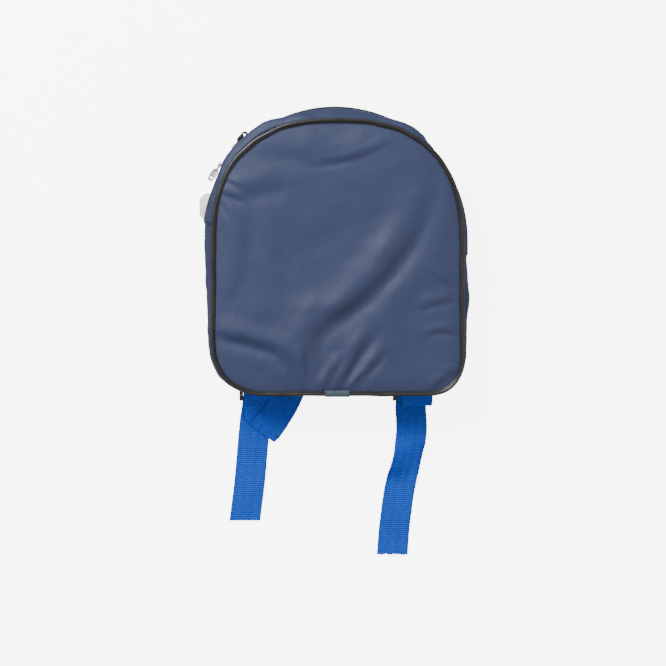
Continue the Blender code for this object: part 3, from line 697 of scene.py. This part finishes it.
def make_front_panel():
    """The nylon front panel: drawn down at its seam, crowned and folded inside it."""
    inset = PIPING_RADIUS * 0.55

    def place(u, v):
        x, y, depth = square_to_outline(u, v, front_ring, inset)
        rise = 1 - np.exp(-depth / (7 * MM))
        crown = 2.2 * MM * (1 - np.exp(-depth / (26 * MM)))
        seam = FRONT_Z - 0.9 * MM
        lift = panel_height(x, y, depth) * (0.18 + 0.82 * (1 - np.exp(-depth / (9 * MM))))
        lift = np.where(depth < 1e-6, 0, lift)
        return x, y, seam + 1.1 * MM * rise + crown + lift - 0.8 * MM

    columns = sizes().panel_columns
    mesh = cloth_grid("front_panel", columns, int(columns * 1.1), place)
    piece = add_piece("front_panel", mesh, "nylon", None, PANEL_NODES)
    thicken(piece, sizes().cloth)
    blend_over_fold(piece)


def ring_points(outline, z, grow=0.0, wander=0.0):
    """Points round an outline at height z, with a slight waver as a sewn cord has."""
    angles = np.linspace(0, TAU, 420, endpoint=False)
    reach = outline.at(angles) + grow
    turn_x, turn_y = np.cos(angles), np.sin(angles)
    sway = wander * ripple(3 * turn_x, 3 * turn_y, 21)
    lift = wander * ripple(3 * turn_x, 3 * turn_y, 22)
    return [Vector((CENTRE.x + (r + s) * cx, CENTRE.y + (r + s) * cy, z + w))
            for r, s, w, cx, cy in zip(reach, sway, lift, turn_x, turn_y)]


def make_pipings():
    """The cords round both seams, and the flange that the front one is sewn in by: a black band inside the
    front cord that is partly the piping's flange and partly painted shade along the panel's seam.
    """
    radius, wander = PIPING_RADIUS * 0.95, 0.25 * MM
    front = tube_mesh("front_piping", ring_points(front_ring, FRONT_Z, wander=wander), radius, True)
    blend_over_fold(add_piece("front_piping", front, "piping", None, PIPING_NODES))
    # A black band just inside the front cord: the piping's flange, and painted shade along the panel's seam.
    line = ring_points(front_ring, FRONT_Z - 0.9 * MM, -1.9 * MM, wander=0.2 * MM)
    flange = tube_mesh("front_piping_flange_and_seam_shade", line, 1.1 * MM, True, 2)
    blend_over_fold(add_piece("front_piping_flange_and_seam_shade", flange, "piping"))
    rear = tube_mesh("rear_piping_cord", ring_points(back_ring, BACK_Z, wander=wander), radius, True)
    add_piece("rear_piping_cord", rear, "piping", "bag", ("rear_piping",))


def make_tab():
    """Binding tape folded over the piping at the middle of the base."""
    low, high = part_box("piping_tab")
    seam_y = float(CENTRE.y - front_ring.at(-math.pi / 2))
    radius = PIPING_RADIUS + 0.45 * MM

    def place(u, v):
        x = low.x + (high.x - low.x) * u
        turn = math.radians(62) + math.radians(150) * v
        flat = np.clip((math.radians(92) - turn) / math.radians(30), 0, 1)
        y = seam_y + radius * np.cos(turn) + flat * 2.6 * MM
        z = FRONT_Z + radius * np.sin(turn) + 0.08 * MM * ripple(u * 2, v * 2, 3)
        return x, y, z

    mesh = cloth_grid("piping_tab_tape", 24, 20, place, flip=True)
    piece = add_piece("piping_tab_tape", mesh, "binding", "bag", ("piping_tab",))
    thicken(piece, 0.35 * MM, 1)


# --- the gusset ---------------------------------------------------------------------------------------
# Where slack cloth stands out from the gusset: angle and width in degrees, height in millimetres.
SLACK = ((58, 9, 6.0), (107, 6, 1.5), (121, 11, 7.5), (136, 7, 4.5), (144, 6, 3.5), (340, 8, 3.0))


def slack_at(angle):
    turn = np.degrees(angle) % 360
    return sum(height * MM * np.exp(-((turn - place) / width) ** 2) for place, width, height in SLACK)


def strip_place(low, high, upper, seed, puff=0.0, inset=0.0, slack=0.0):
    """Where a strip of the gusset goes: u runs round the bag, v from its rear edge to its front edge."""
    levels = np.linspace(low, high, 9)
    ends = np.array([fold_angles(z) for z in levels])

    def place(u, v):
        z = low + (high - low) * v
        right, left = np.interp(z, levels, ends[:, 0]), np.interp(z, levels, ends[:, 1])
        if upper:
            angle = right + (left - right) * u
        else:
            angle = left + (right + TAU - left) * u
        edge = np.clip(np.minimum(v, 1 - v) * 4, 0, 1) * np.clip(np.minimum(u, 1 - u) * 30, 0, 1)
        span = 0.7 * ripple(u * 9, v * 0.8, seed) + 0.35 * ripple(u * 30, v * 1.2, seed + 1)
        reach = gusset_reach(angle, z) - inset + edge * (puff + 0.6 * MM * span)
        reach = reach + slack * slack_at(angle) * np.sin(math.pi * v) ** 0.7
        x, y = CENTRE.x + reach * np.cos(angle), CENTRE.y + reach * np.sin(angle)
        return x, y, z + edge * 0.5 * MM * ripple(u * 12, v, seed + 2)

    return place


def strip_row(low, high, upper, v, grow, slack=0.0):
    """A row of (point, outward normal) along a strip, for its stitches."""
    count = 400
    place = strip_place(low, high, upper, 0, slack=slack)
    u = np.linspace(0.004, 0.996, count)
    x, y, z = place(u, np.full(count, v))
    row = []
    for i in range(count):
        outward = Vector((x[i] - CENTRE.x, y[i] - CENTRE.y, 0)).normalized()
        row.append((Vector((x[i], y[i], z[i])) + outward * grow, outward))
    return row


def make_gusset():
    """The strips on either side of the zip, the lower gusset and their stitches."""
    rear_high, front_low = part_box("rear_gusset_strip")[1].z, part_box("front_gusset_strip")[0].z
    low, high = BACK_Z + 1.2 * MM, FRONT_Z - 1.0 * MM
    pieces = (("lower_gusset_cloth", low, high, False, 220, 24, ("lower_gusset",), 31),
              ("rear_gusset_cloth", low, rear_high, True, 260, 8, ("rear_gusset_strip",), 41),
              ("front_gusset_cloth", front_low, high, True, 260, 12, ("front_gusset_strip",), 51))
    for name, bottom, top, upper, columns, rows, nodes, seed in pieces:
        on_flap = nodes[0].startswith("front")
        inset = -0.2 * MM if upper else 0.8 * MM
        slack = 1.0 if on_flap or not upper else 0.0
        mesh = cloth_grid(name, columns, rows, strip_place(bottom, top, upper, seed, 0.3 * MM, inset, slack))
        piece = add_piece(name, mesh, "nylon", None if on_flap else "bag", nodes)
        thicken(piece, sizes().cloth)
        width = top - bottom + 4 * MM
        if width > 12 * MM:
            row = [point for point, _ in strip_row(bottom, top, upper, 0.5, 0)]
            length = sum((b - a).length for a, b in zip(row, row[1:]))
            length + 4 * MM
        if on_flap:
            blend_over_fold(piece)
    row = strip_row(low, rear_high, True, 0.80, 0.9 * MM)
    stitches = stitch_mesh("rear_gusset_stitches", [row], GUSSET_STITCH)
    add_piece("rear_gusset_stitches", stitches, "thread", "bag")
    row = strip_row(front_low, high, True, 0.07, 0.7 * MM, slack=1.0)
    stitches = stitch_mesh("front_gusset_stitches", [row], GUSSET_STITCH)
    blend_over_fold(add_piece("front_gusset_stitches", stitches, "thread"))
    make_gusset_joins(low, high)


def on_gusset(angle, z, inward):
    """A point on the gusset at this angle and height, set in by a little, and the outward direction there."""
    outward = Vector((math.cos(angle), math.sin(angle), 0))
    reach = float(gusset_reach(angle, z)) - inward
    return Vector((CENTRE.x, CENTRE.y, z)) + outward * reach, outward


def make_gusset_joins(low, high):
    """Where the strips meet the lower gusset: its folded edge, proud of the strips, with a row of stitches."""
    for side, index, sign in (("right", 0, 1), ("left", 1, -1)):
        row = []
        for z in np.linspace(low + 1.5 * MM, high - 1.5 * MM, 24):
            angle = fold_angles(z)[index]
            turn = -2.0 * MM / float(gusset_reach(angle, z)) * sign
            row.append(on_gusset(angle + turn, z, 0.1 * MM))
        name = "gusset_join_stitches_" + side
        add_piece(name, stitch_mesh(name, [row], JOIN_STITCH), "thread", "bag")
        edge = []
        for point, normal in row:
            beneath = point - normal * 0.55 * MM
            angle = math.atan2(beneath.y - CENTRE.y, beneath.x - CENTRE.x)
            turn = 1.6 * MM / (beneath.xy - CENTRE).length * sign
            edge.append(on_gusset(angle + turn, beneath.z, 0.5 * MM)[0])
        name = "gusset_join_fold_" + side
        add_piece(name, tube_mesh(name, edge, 0.7 * MM), "nylon", "bag")


# --- the zip ------------------------------------------------------------------------------------------
COIL_GAP = 0.9 * MM  # from the middle of the zip to the edge of each tape


def make_zip():
    """Both halves of the zip, its sliders and their pulls."""
    make_zip_half("rear", -1)
    make_zip_half("front", 1)
    for side in ("left", "right"):
        refined_copy("zip_slider_" + side, "nickel", 0.18 * MM)
        refined_copy("zip_pull_" + side, "nickel", 0.16 * MM)


def make_zip_half(half, sign):
    """One tape with its row of coil teeth, sewn down by a cord. The front half rides on no body."""
    body = None if half == "front" else "bag"
    tape_low, tape_high = (corner.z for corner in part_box(half + "_zip_tape"))
    low, high = (tape_low, ZIP_Z - COIL_GAP) if body else (ZIP_Z + COIL_GAP, tape_high)
    mesh = cloth_grid(half + "_tape", 240, 6, strip_place(low, high, True, 60 + sign, 0, 0.9 * MM))
    tape = add_piece(half + "_tape", mesh, "zip_tape", body, (half + "_zip_tape",))
    thicken(tape, 0.5 * MM)

    bm = bmesh.new()
    first, last = fold_angles(ZIP_Z)
    pitch = sizes().tooth_pitch
    count = int((last - first) * float(zip_ring.at(math.pi / 2)) / pitch)
    size = Matrix.Diagonal((1.75 * MM, pitch * 0.30, 1.0 * MM, 1))
    start = 0.75 if body else 0.25  # the teeth of one half stand between those of the other
    for index in range(count):
        angle = first + (last - first) * (index + start) / count
        point, outward = on_gusset(angle, ZIP_Z, 0.1 * MM)
        centre = point + UP * sign * 1.15 * MM
        bmesh.ops.create_uvsphere(bm, u_segments=8, v_segments=5, radius=1,
                                  matrix=frame_at(centre, UP, outward) @ size)
    mesh = smooth_mesh(half + "_coil", bm, 180)
    coil = add_piece(half + "_coil", mesh, "zip_chain", body, (half + "_zip_chain",))
    line = [on_gusset(angle, ZIP_Z, 0.4 * MM)[0] + UP * sign * 2.2 * MM
            for angle in np.linspace(first, last, 200)]
    cord = add_piece(half + "_coil_cord", tube_mesh(half + "_coil_cord", line, 0.6 * MM), "zip_tape", body)
    if not body:
        for piece in (tape, coil, cord):
            blend_over_fold(piece)


# --- webbing and straps -------------------------------------------------------------------------------
WEBBING_WIDTH = 0.030
LOCK_LOOP_WIDTH = 0.028
CARRY_LOOP_WIDTH = 0.020
STRAP_HALF_WIDTH = 0.0205
STRAP_TOP = Vector((0.034, 0.178))  # where the right strap's centre line starts
STRAP_END_Y = -0.026
STRAP_BOW = 0.012  # how far a strap bows out beyond its lock
STRAP_SEAM = 4.5 * MM  # from a strap's edge to its stitching


def webbing_place(stations, width, rib_pitch, rib_height, fray=0.0):
    """Where ribbed webbing goes along stations of (centre, direction across), and its length."""
    centres = np.array(curve_through([tuple(c) for c, _ in stations], 40))
    sides = np.array(curve_through([tuple(a.normalized()) for _, a in stations], 40))
    sides /= np.linalg.norm(sides, axis=1)[:, None]
    steps = np.linalg.norm(np.diff(centres, axis=0), axis=1)
    walked = np.concatenate([[0], np.cumsum(steps)])
    ahead = np.gradient(centres, axis=0)
    ups = np.cross(sides, ahead)
    ups /= np.linalg.norm(ups, axis=1)[:, None]
    length = walked[-1]

    def place(u, v):
        run = np.clip(v * length + fray * ripple(u * 4, v * 0, 77) * np.clip((v - 0.9) * 10, 0, 1), 0, length)
        centre, side, up = (np.stack([np.interp(run, walked, table[:, i]) for i in range(3)], axis=1)
                            for table in (centres, sides, ups))
        edge = 1 - np.clip((np.abs(2 * u - 1) - 0.9) / 0.1, 0, 1) ** 2
        rib = rib_height * np.abs(np.cos(math.pi * run / rib_pitch)) * (0.35 + 0.65 * edge)
        sag = 0.10 * MM * ripple(u * 1.5, v * length / 0.03, 71)
        spread = (u - 0.5) * width + 0.06 * MM * ripple(u, v * length / 0.004, 72)
        points = centre + side * spread[:, None] + up * (rib + sag)[:, None]
        return points[:, 0], points[:, 1], points[:, 2]

    return place, float(length)


def make_webbing(name, stations, width, nodes, body="bag", fray=0.0):
    """A length of ribbed webbing, whose own map counts its ribs."""
    place, length = webbing_place(stations, width, sizes().rib_pitch, sizes().rib_height, fray)
    rows = int(length / (sizes().rib_pitch / 4))
    mesh = cloth_grid(name, 16, rows, place)
    for item in mesh.uv_layers[0].data:
        item.uv = (item.uv.x, item.uv.y * length / sizes().rib_pitch)
    piece = add_piece(name, mesh, "webbing", body, nodes)
    thicken(piece, sizes().webbing, 0)
    return piece


def station(x, y, z, across=ACROSS):
    """A place on a strap, given in millimetres."""
    return Vector((x, y, z)) * MM, across


def make_left_webbing():
    """Out of the back seam at a slant, folded under itself, through the lock and down into the free tail."""
    slant = Vector((0.809, -0.588, 0))
    half_turn = Vector((0.92, -0.40, 0)).normalized()
    slot, below = station(-72, -47.6, 3.6), station(-75.6, -84, 0.9)
    down = [station(*place, slant) for place in (
        (-40, -52, 6.3), (-47, -67, 6.1), (-56, -82, 6.0), (-63.2, -92.4, 5.6), (-64.6, -94.3, 4.3),
        (-67.4, -96.8, 3.6), (-69.4, -98.2, 2.9))]
    back = [station(*place) for place in (
        (-70.4, -84, 3.0), (-71.2, -74, 5.0), (-71.8, -65.5, 5.7), (-72, -61, 7.2), (-72, -54, 6.6))]
    upper = [*down, station(-68.6, -94.6, 2.3, half_turn), *back, slot]
    through = [slot, station(-72, -52, 1.5), station(-72.4, -62, 1.1), station(-73.9, -74, 0.9), below]
    tail = [below, station(-77.7, -106, 0.9), station(-81, -144, 0.9), station(-85.8, -183.5, 0.9)]
    make_webbing("left_webbing_band", upper, WEBBING_WIDTH, ("webbing_left",))
    make_lock_webbing("left", through, ("webbing_under_left",))
    make_tail("left", tail)


def make_right_webbing():
    """A short fold of webbing over the lock, and the free tail in a lazy curve with a frayed end."""
    lean = Vector((1, 0, -0.34))
    slot, below = station(76.6, -47.6, 3.6), station(75.6, -74, 1.2)
    upper = [station(*place) for place in (
        (82, -46, 7.6), (82, -60, 7.9), (82, -65, 6.6), (81.5, -70, 4.6), (81, -71.6, 3.6), (80, -69, 3.0),
        (78.5, -66, 4.4), (77, -60, 5.9), (77, -52, 5.6))]
    through = [slot, station(76.4, -52, 1.5), station(76.2, -62, 1.1), below]
    arch = [station(76.5, -92, 3.0), station(75.6, -104, 7.4), station(73.6, -116, 9.0, lean),
            station(70.4, -130, 6.6, lean), station(66.6, -144, 1.8)]
    flat = [station(x, y, 0.9) for x, y in ((63.6, -160), (61.2, -178), (59.4, -193), (57.6, -216.5))]
    make_webbing("right_webbing_band", [*upper, slot], WEBBING_WIDTH, ("webbing_right",))
    make_lock_webbing("right", through, ())
    make_tail("right", [below, *arch, *flat], 0.9 * MM)
    make_fray()


def make_lock_webbing(side, stations, nodes):
    """The webbing under a ladder lock's bars, baked in place and riding on no body."""
    piece = make_webbing("webbing_through_lock_" + side, stations, WEBBING_WIDTH, nodes, None)
    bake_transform(piece)


def make_tail(side, stations, fray=0.0):
    """The free tail, baked in place and riding on no body."""
    nodes = ("webbing_tail_" + side,)
    piece = make_webbing(side + "_webbing_tail", stations, WEBBING_WIDTH, nodes, None, fray)
    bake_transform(piece)


def make_fray():
    """Loose threads at the cut end of the right tail."""
    chance = np.random.default_rng(4)
    bm = bmesh.new()
    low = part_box("webbing_tail_right")[0]
    for share in np.linspace(0.04, 0.96, 26):
        x = low.x + 0.0005 + share * WEBBING_WIDTH
        end = Vector((x + chance.uniform(-1, 1) * MM, low.y - chance.uniform(0.4, 1.9) * MM, 0.9 * MM))
        start = Vector((x, low.y + 1.0 * MM, 0.9 * MM))
        size = Matrix.Diagonal(((end - start).length / 2, 0.16 * MM, 0.14 * MM, 1))
        bmesh.ops.create_icosphere(bm, subdivisions=1, radius=1,
                                   matrix=frame_at((start + end) / 2, end - start, UP) @ size)
    add_piece("tail_fray", smooth_mesh("tail_fray", bm, 180), "webbing", "tail_right")


def make_straps():
    """Both shoulder straps with their loops and ladder locks, and the carry loop."""
    for side in ("left", "right"):
        make_strap(side)
        make_end_loop(side)
        refined_copy("ladder_lock_" + side, "plastic", 0.5 * MM, segments=3)
    make_carry_loop()


def make_strap(side):
    """A padded strap: a flat cushion with bound edges, drawn in along its stitching."""
    nodes = tuple("strap_" + layer + "_" + side for layer in ("cover", "foam", "backing"))
    top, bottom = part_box(nodes[0])[1].z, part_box(nodes[2])[0].z
    joint = Vector(JOINTS["lock_" + side + "_tilt"]["pos_m"])
    sign = -1 if side == "left" else 1
    start, end = Vector((sign * STRAP_TOP.x, STRAP_TOP.y)), Vector((joint.x, STRAP_END_Y))
    bend = Vector((sign * (abs(end.x) + STRAP_BOW), (start.y + end.y) / 2 + 0.02))
    middle, thick = (top + bottom) / 2, (top - bottom) / 2 - 0.1 * MM

    def line(t):
        x = start.x * (1 - t) ** 2 + bend.x * 2 * t * (1 - t) + end.x * t ** 2
        y = start.y * (1 - t) ** 2 + bend.y * 2 * t * (1 - t) + end.y * t ** 2
        ahead_x = (bend.x - start.x) * (1 - t) + (end.x - bend.x) * t
        ahead_y = (bend.y - start.y) * (1 - t) + (end.y - bend.y) * t
        size = np.hypot(ahead_x, ahead_y)
        return x, y, -ahead_y / size, ahead_x / size

    def place(u, v):
        x, y, side_x, side_y = line(v)
        turn = TAU * u
        lean = np.cos(turn)
        out = np.sign(lean) * np.abs(lean) ** 0.35
        plump = np.abs(np.sin(turn)) ** 0.55 * np.sign(np.sin(turn))
        narrow = STRAP_HALF_WIDTH * (1 - 0.10 * np.clip((v - 0.9) * 10, 0, 1))
        dip = 1 - 0.45 * np.exp(-((np.abs(out) * narrow - (narrow - STRAP_SEAM)) / (1.2 * MM)) ** 2)
        ends = 1 - 0.55 * np.clip(1 - np.minimum(v, 1 - v) / 0.015, 0, 1)
        swell = 1 + 0.04 * ripple(u * 2, v * 6, 90)
        z = middle + thick * plump * dip * ends * np.clip(swell, 0.9, 1.0)
        return x + side_x * out * narrow, y + side_y * out * narrow, z

    bm = bmesh.new()
    mesh = cloth_grid(nodes[0], 72, 150, place)
    bm.from_mesh(mesh)
    bmesh.ops.remove_doubles(bm, verts=bm.verts, dist=1e-6)
    rims = [edge for edge in bm.edges if edge.is_boundary]
    bmesh.ops.holes_fill(bm, edges=rims, sides=0)
    bmesh.ops.recalc_face_normals(bm, faces=bm.faces)
    strap = add_piece("shoulder_strap_" + side, smooth_mesh(nodes[0], bm), "nylon", "bag", nodes)
    rows = []
    x, y, side_x, side_y = line(np.linspace(0.02, 0.98, 160))
    for out in (STRAP_SEAM - STRAP_HALF_WIDTH, STRAP_HALF_WIDTH - STRAP_SEAM):
        for face in (-1, 1):
            places = zip(x + side_x * out, y + side_y * out)
            rows.append([(Vector((*place, middle + face * thick * 0.60)), UP * face) for place in places])
    name = "strap_stitches_" + side
    add_piece(name, stitch_mesh(name, rows, STRAP_STITCH), "thread", "bag")


def make_end_loop(side):
    """The webbing loop that holds the lock's top bar."""
    joint = Vector(JOINTS["lock_" + side + "_tilt"]["pos_m"]) / MM
    lift, reach = 2.5, 3.9
    stations = [station(joint.x, joint.y + ahead, joint.z + rise) for ahead, rise in (
        (20, lift), (2, lift), (-reach * 0.8, lift * 0.8), (-reach, 0), (-reach * 0.8, -lift * 0.8), (2, -lift),
        (12, -lift))]
    make_webbing("lock_loop_" + side, stations, LOCK_LOOP_WIDTH, ("strap_end_loop_" + side,))


def make_carry_loop():
    """A flat loop of webbing, sewn down at both ends and slack between them."""
    low, high = (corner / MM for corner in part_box("carry_loop"))
    top, bottom = high.z - 0.7, low.z + 0.7
    half = [(high.x, top), (high.x - 9, top), (high.x - 15, (top + bottom) / 2), (high.x - 21, bottom),
            (4, bottom)]
    path = half + [(-x, z) for x, z in reversed(half)]
    stations = [station(x, (low.y + high.y) / 2, z, Vector((0, 1, 0))) for x, z in path]
    make_webbing("carry_loop_band", stations, CARRY_LOOP_WIDTH, ("carry_loop",))


# --- the back, the inside and the tag -----------------------------------------------------------------
def make_back():
    """The padded back panel, its lining and the bound seams inside."""
    def under(u, v):
        x, y, depth = square_to_outline(u, v, back_ring, PIPING_RADIUS * 0.6)
        puff = 0.6 * MM * (1 - np.exp(-depth / (10 * MM)))
        wave = 0.35 * MM * ripple(x / 0.07, y / 0.07, 17) * (1 - np.exp(-depth / (12 * MM)))
        return x, y, UNDER_Z + 0.9 * MM - puff - wave

    mesh = cloth_grid("back_panel_cloth", 110, 120, under, flip=True)
    piece = add_piece("back_panel_cloth", mesh, "nylon", "bag", ("back_panel",))
    thicken(piece, sizes().cloth)
    for node, maker in (("back_lining", lining), ("back_foam", foam), ("rear_seam_binding", inner_binding),
                        ("upper_front_seam_binding", inner_binding),
                        ("lower_front_seam_binding", inner_binding), ("hang_tag_pin", plastic)):
        for place in frame["nodes"][node].material_slots:
            place.material = maker()


def make_tag():
    """The card tag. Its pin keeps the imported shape."""
    refined_copy("hang_tag", "card", 0.08 * MM)


# --- the stage ----------------------------------------------------------------------------------------
FLOOR_Z = -0.4 * MM
CAMERA_HEIGHT = 5.0  # over the front panel
VIEW_WIDTH = 0.6447  # what the camera takes in at that height


def make_stage():
    """A white floor that lights nothing and is clear from below, soft lights and the camera straight above."""
    made = Finish("floor")
    paper = made.noise(made.place(), 6.0, 2.0)
    white = made.mix(paper, (0.97, 0.97, 0.97, 1), (1.0, 1.0, 1.0, 1))
    made.set(Base_Color=white, Emission_Color=white, Emission_Strength=6.0, Roughness=0.75)
    facing = made.node("ShaderNodeNewGeometry")
    clear = made.node("ShaderNodeBsdfTransparent")
    ends = {0: facing.outputs["Backfacing"], 1: made.shader.outputs[0], 2: clear.outputs[0]}
    joined = made.node("ShaderNodeMixShader", None, ends)
    made.feed(made.tree.nodes["Material Output"].inputs["Surface"], joined.outputs[0])
    bm = bmesh.new()
    bmesh.ops.create_grid(bm, x_segments=2, y_segments=2, size=6.0, matrix=Matrix.Translation(UP * FLOOR_Z))
    mesh = bpy.data.meshes.new("floor")
    bm.to_mesh(mesh)
    bm.free()
    mesh.materials.append(made.material)
    floor = bpy.data.objects.new("floor", mesh)
    bpy.context.scene.collection.objects.link(floor)
    floor.visible_diffuse = floor.visible_glossy = False

    world = bpy.data.worlds.new("studio")
    world.use_nodes = True
    world.node_tree.nodes["Background"].inputs[0].default_value = (1.0, 1.0, 1.0, 1)
    world.node_tree.nodes["Background"].inputs[1].default_value = 0.62
    bpy.context.scene.world = world
    for name, place, size, power in (("key", (-1.2, 1.6, 1.7), 1.2, 120), ("fill", (1.6, -1.0, 2.2), 1.8, 26)):
        light = bpy.data.lights.new(name, "AREA")
        light.size = size
        light.energy = power
        lamp = bpy.data.objects.new(name, light)
        lamp.location = place
        lamp.rotation_euler = (-Vector(place)).to_track_quat("-Z", "Y").to_euler()
        bpy.context.scene.collection.objects.link(lamp)

    camera = bpy.data.cameras.new("camera")
    camera.sensor_width = 36
    camera.lens = camera.sensor_width * CAMERA_HEIGHT / VIEW_WIDTH
    camera.clip_end = 50
    eye = bpy.data.objects.new("camera", camera)
    eye.location = (0, -0.001, 0.030 + CAMERA_HEIGHT)
    bpy.context.scene.collection.objects.link(eye)
    bpy.context.scene.camera = eye


# --- operators, panel and registration ----------------------------------------------------------------
class BACKPACK_OT_stage(bpy.types.Operator):
    """Floor, lights and camera"""

    bl_idname = "backpack.stage"
    bl_label = "Stage"

    def execute(self, context):
        make_stage()
        return {"FINISHED"}


class BACKPACK_OT_front_panel(bpy.types.Operator):
    """The folded nylon front panel"""

    bl_idname = "backpack.front_panel"
    bl_label = "Front panel"

    def execute(self, context):
        make_front_panel()
        return {"FINISHED"}


class BACKPACK_OT_pipings(bpy.types.Operator):
    """The piped cords round both seams"""

    bl_idname = "backpack.pipings"
    bl_label = "Pipings"

    def execute(self, context):
        make_pipings()
        return {"FINISHED"}


class BACKPACK_OT_tab(bpy.types.Operator):
    """The tape over the join of the piping"""

    bl_idname = "backpack.tab"
    bl_label = "Piping tab"

    def execute(self, context):
        make_tab()
        return {"FINISHED"}


class BACKPACK_OT_gusset(bpy.types.Operator):
    """The strips and sides of the gusset with their stitches"""

    bl_idname = "backpack.gusset"
    bl_label = "Gusset"

    def execute(self, context):
        make_gusset()
        return {"FINISHED"}


class BACKPACK_OT_zip(bpy.types.Operator):
    """Tapes, coil, sliders and pulls"""

    bl_idname = "backpack.zip"
    bl_label = "Zip"

    def execute(self, context):
        make_zip()
        return {"FINISHED"}


class BACKPACK_OT_left_webbing(bpy.types.Operator):
    """The folded left webbing and its tail"""

    bl_idname = "backpack.left_webbing"
    bl_label = "Left webbing"

    def execute(self, context):
        make_left_webbing()
        return {"FINISHED"}


class BACKPACK_OT_right_webbing(bpy.types.Operator):
    """The right webbing and its tail"""

    bl_idname = "backpack.right_webbing"
    bl_label = "Right webbing"

    def execute(self, context):
        make_right_webbing()
        return {"FINISHED"}


class BACKPACK_OT_straps(bpy.types.Operator):
    """Padded straps, their loops, locks and the carry loop"""

    bl_idname = "backpack.straps"
    bl_label = "Straps"

    def execute(self, context):
        make_straps()
        return {"FINISHED"}


class BACKPACK_OT_back(bpy.types.Operator):
    """Back panel, lining and inside bindings"""

    bl_idname = "backpack.back"
    bl_label = "Back"

    def execute(self, context):
        make_back()
        return {"FINISHED"}


class BACKPACK_OT_tag(bpy.types.Operator):
    """The card tag"""

    bl_idname = "backpack.tag"
    bl_label = "Tag"

    def execute(self, context):
        make_tag()
        return {"FINISHED"}


OPERATORS = (
    BACKPACK_OT_stage, BACKPACK_OT_front_panel, BACKPACK_OT_pipings, BACKPACK_OT_tab, BACKPACK_OT_gusset,
    BACKPACK_OT_zip, BACKPACK_OT_left_webbing, BACKPACK_OT_right_webbing, BACKPACK_OT_straps,
    BACKPACK_OT_back, BACKPACK_OT_tag,
)


class BACKPACK_PT_sidebar(bpy.types.Panel):
    """Lists the pieces of the bag with its sizes and colours."""

    bl_label = "Backpack"
    bl_space_type = "VIEW_3D"
    bl_region_type = "UI"
    bl_category = "Backpack"

    def draw(self, context):
        for group in (context.scene.backpack_sizes, context.scene.backpack_colours):
            for key in group.__annotations__:
                self.layout.prop(group, key)
        for made in OPERATORS:
            self.layout.operator(made.bl_idname)


CLASSES = (BackpackColours, BackpackSizes, *OPERATORS, BACKPACK_PT_sidebar)


def register():
    for made in CLASSES:
        bpy.utils.register_class(made)
    bpy.types.Scene.backpack_colours = PointerProperty(type=BackpackColours)
    bpy.types.Scene.backpack_sizes = PointerProperty(type=BackpackSizes)


def unregister():
    del bpy.types.Scene.backpack_sizes
    del bpy.types.Scene.backpack_colours
    for made in reversed(CLASSES):
        bpy.utils.unregister_class(made)


def main():
    """Makes the whole bag."""
    register()
    for made in OPERATORS:
        getattr(bpy.ops.backpack, made.bl_idname.split(".")[1])()
    bpy.context.view_layer.update()


if __name__ == "__main__":
    main()
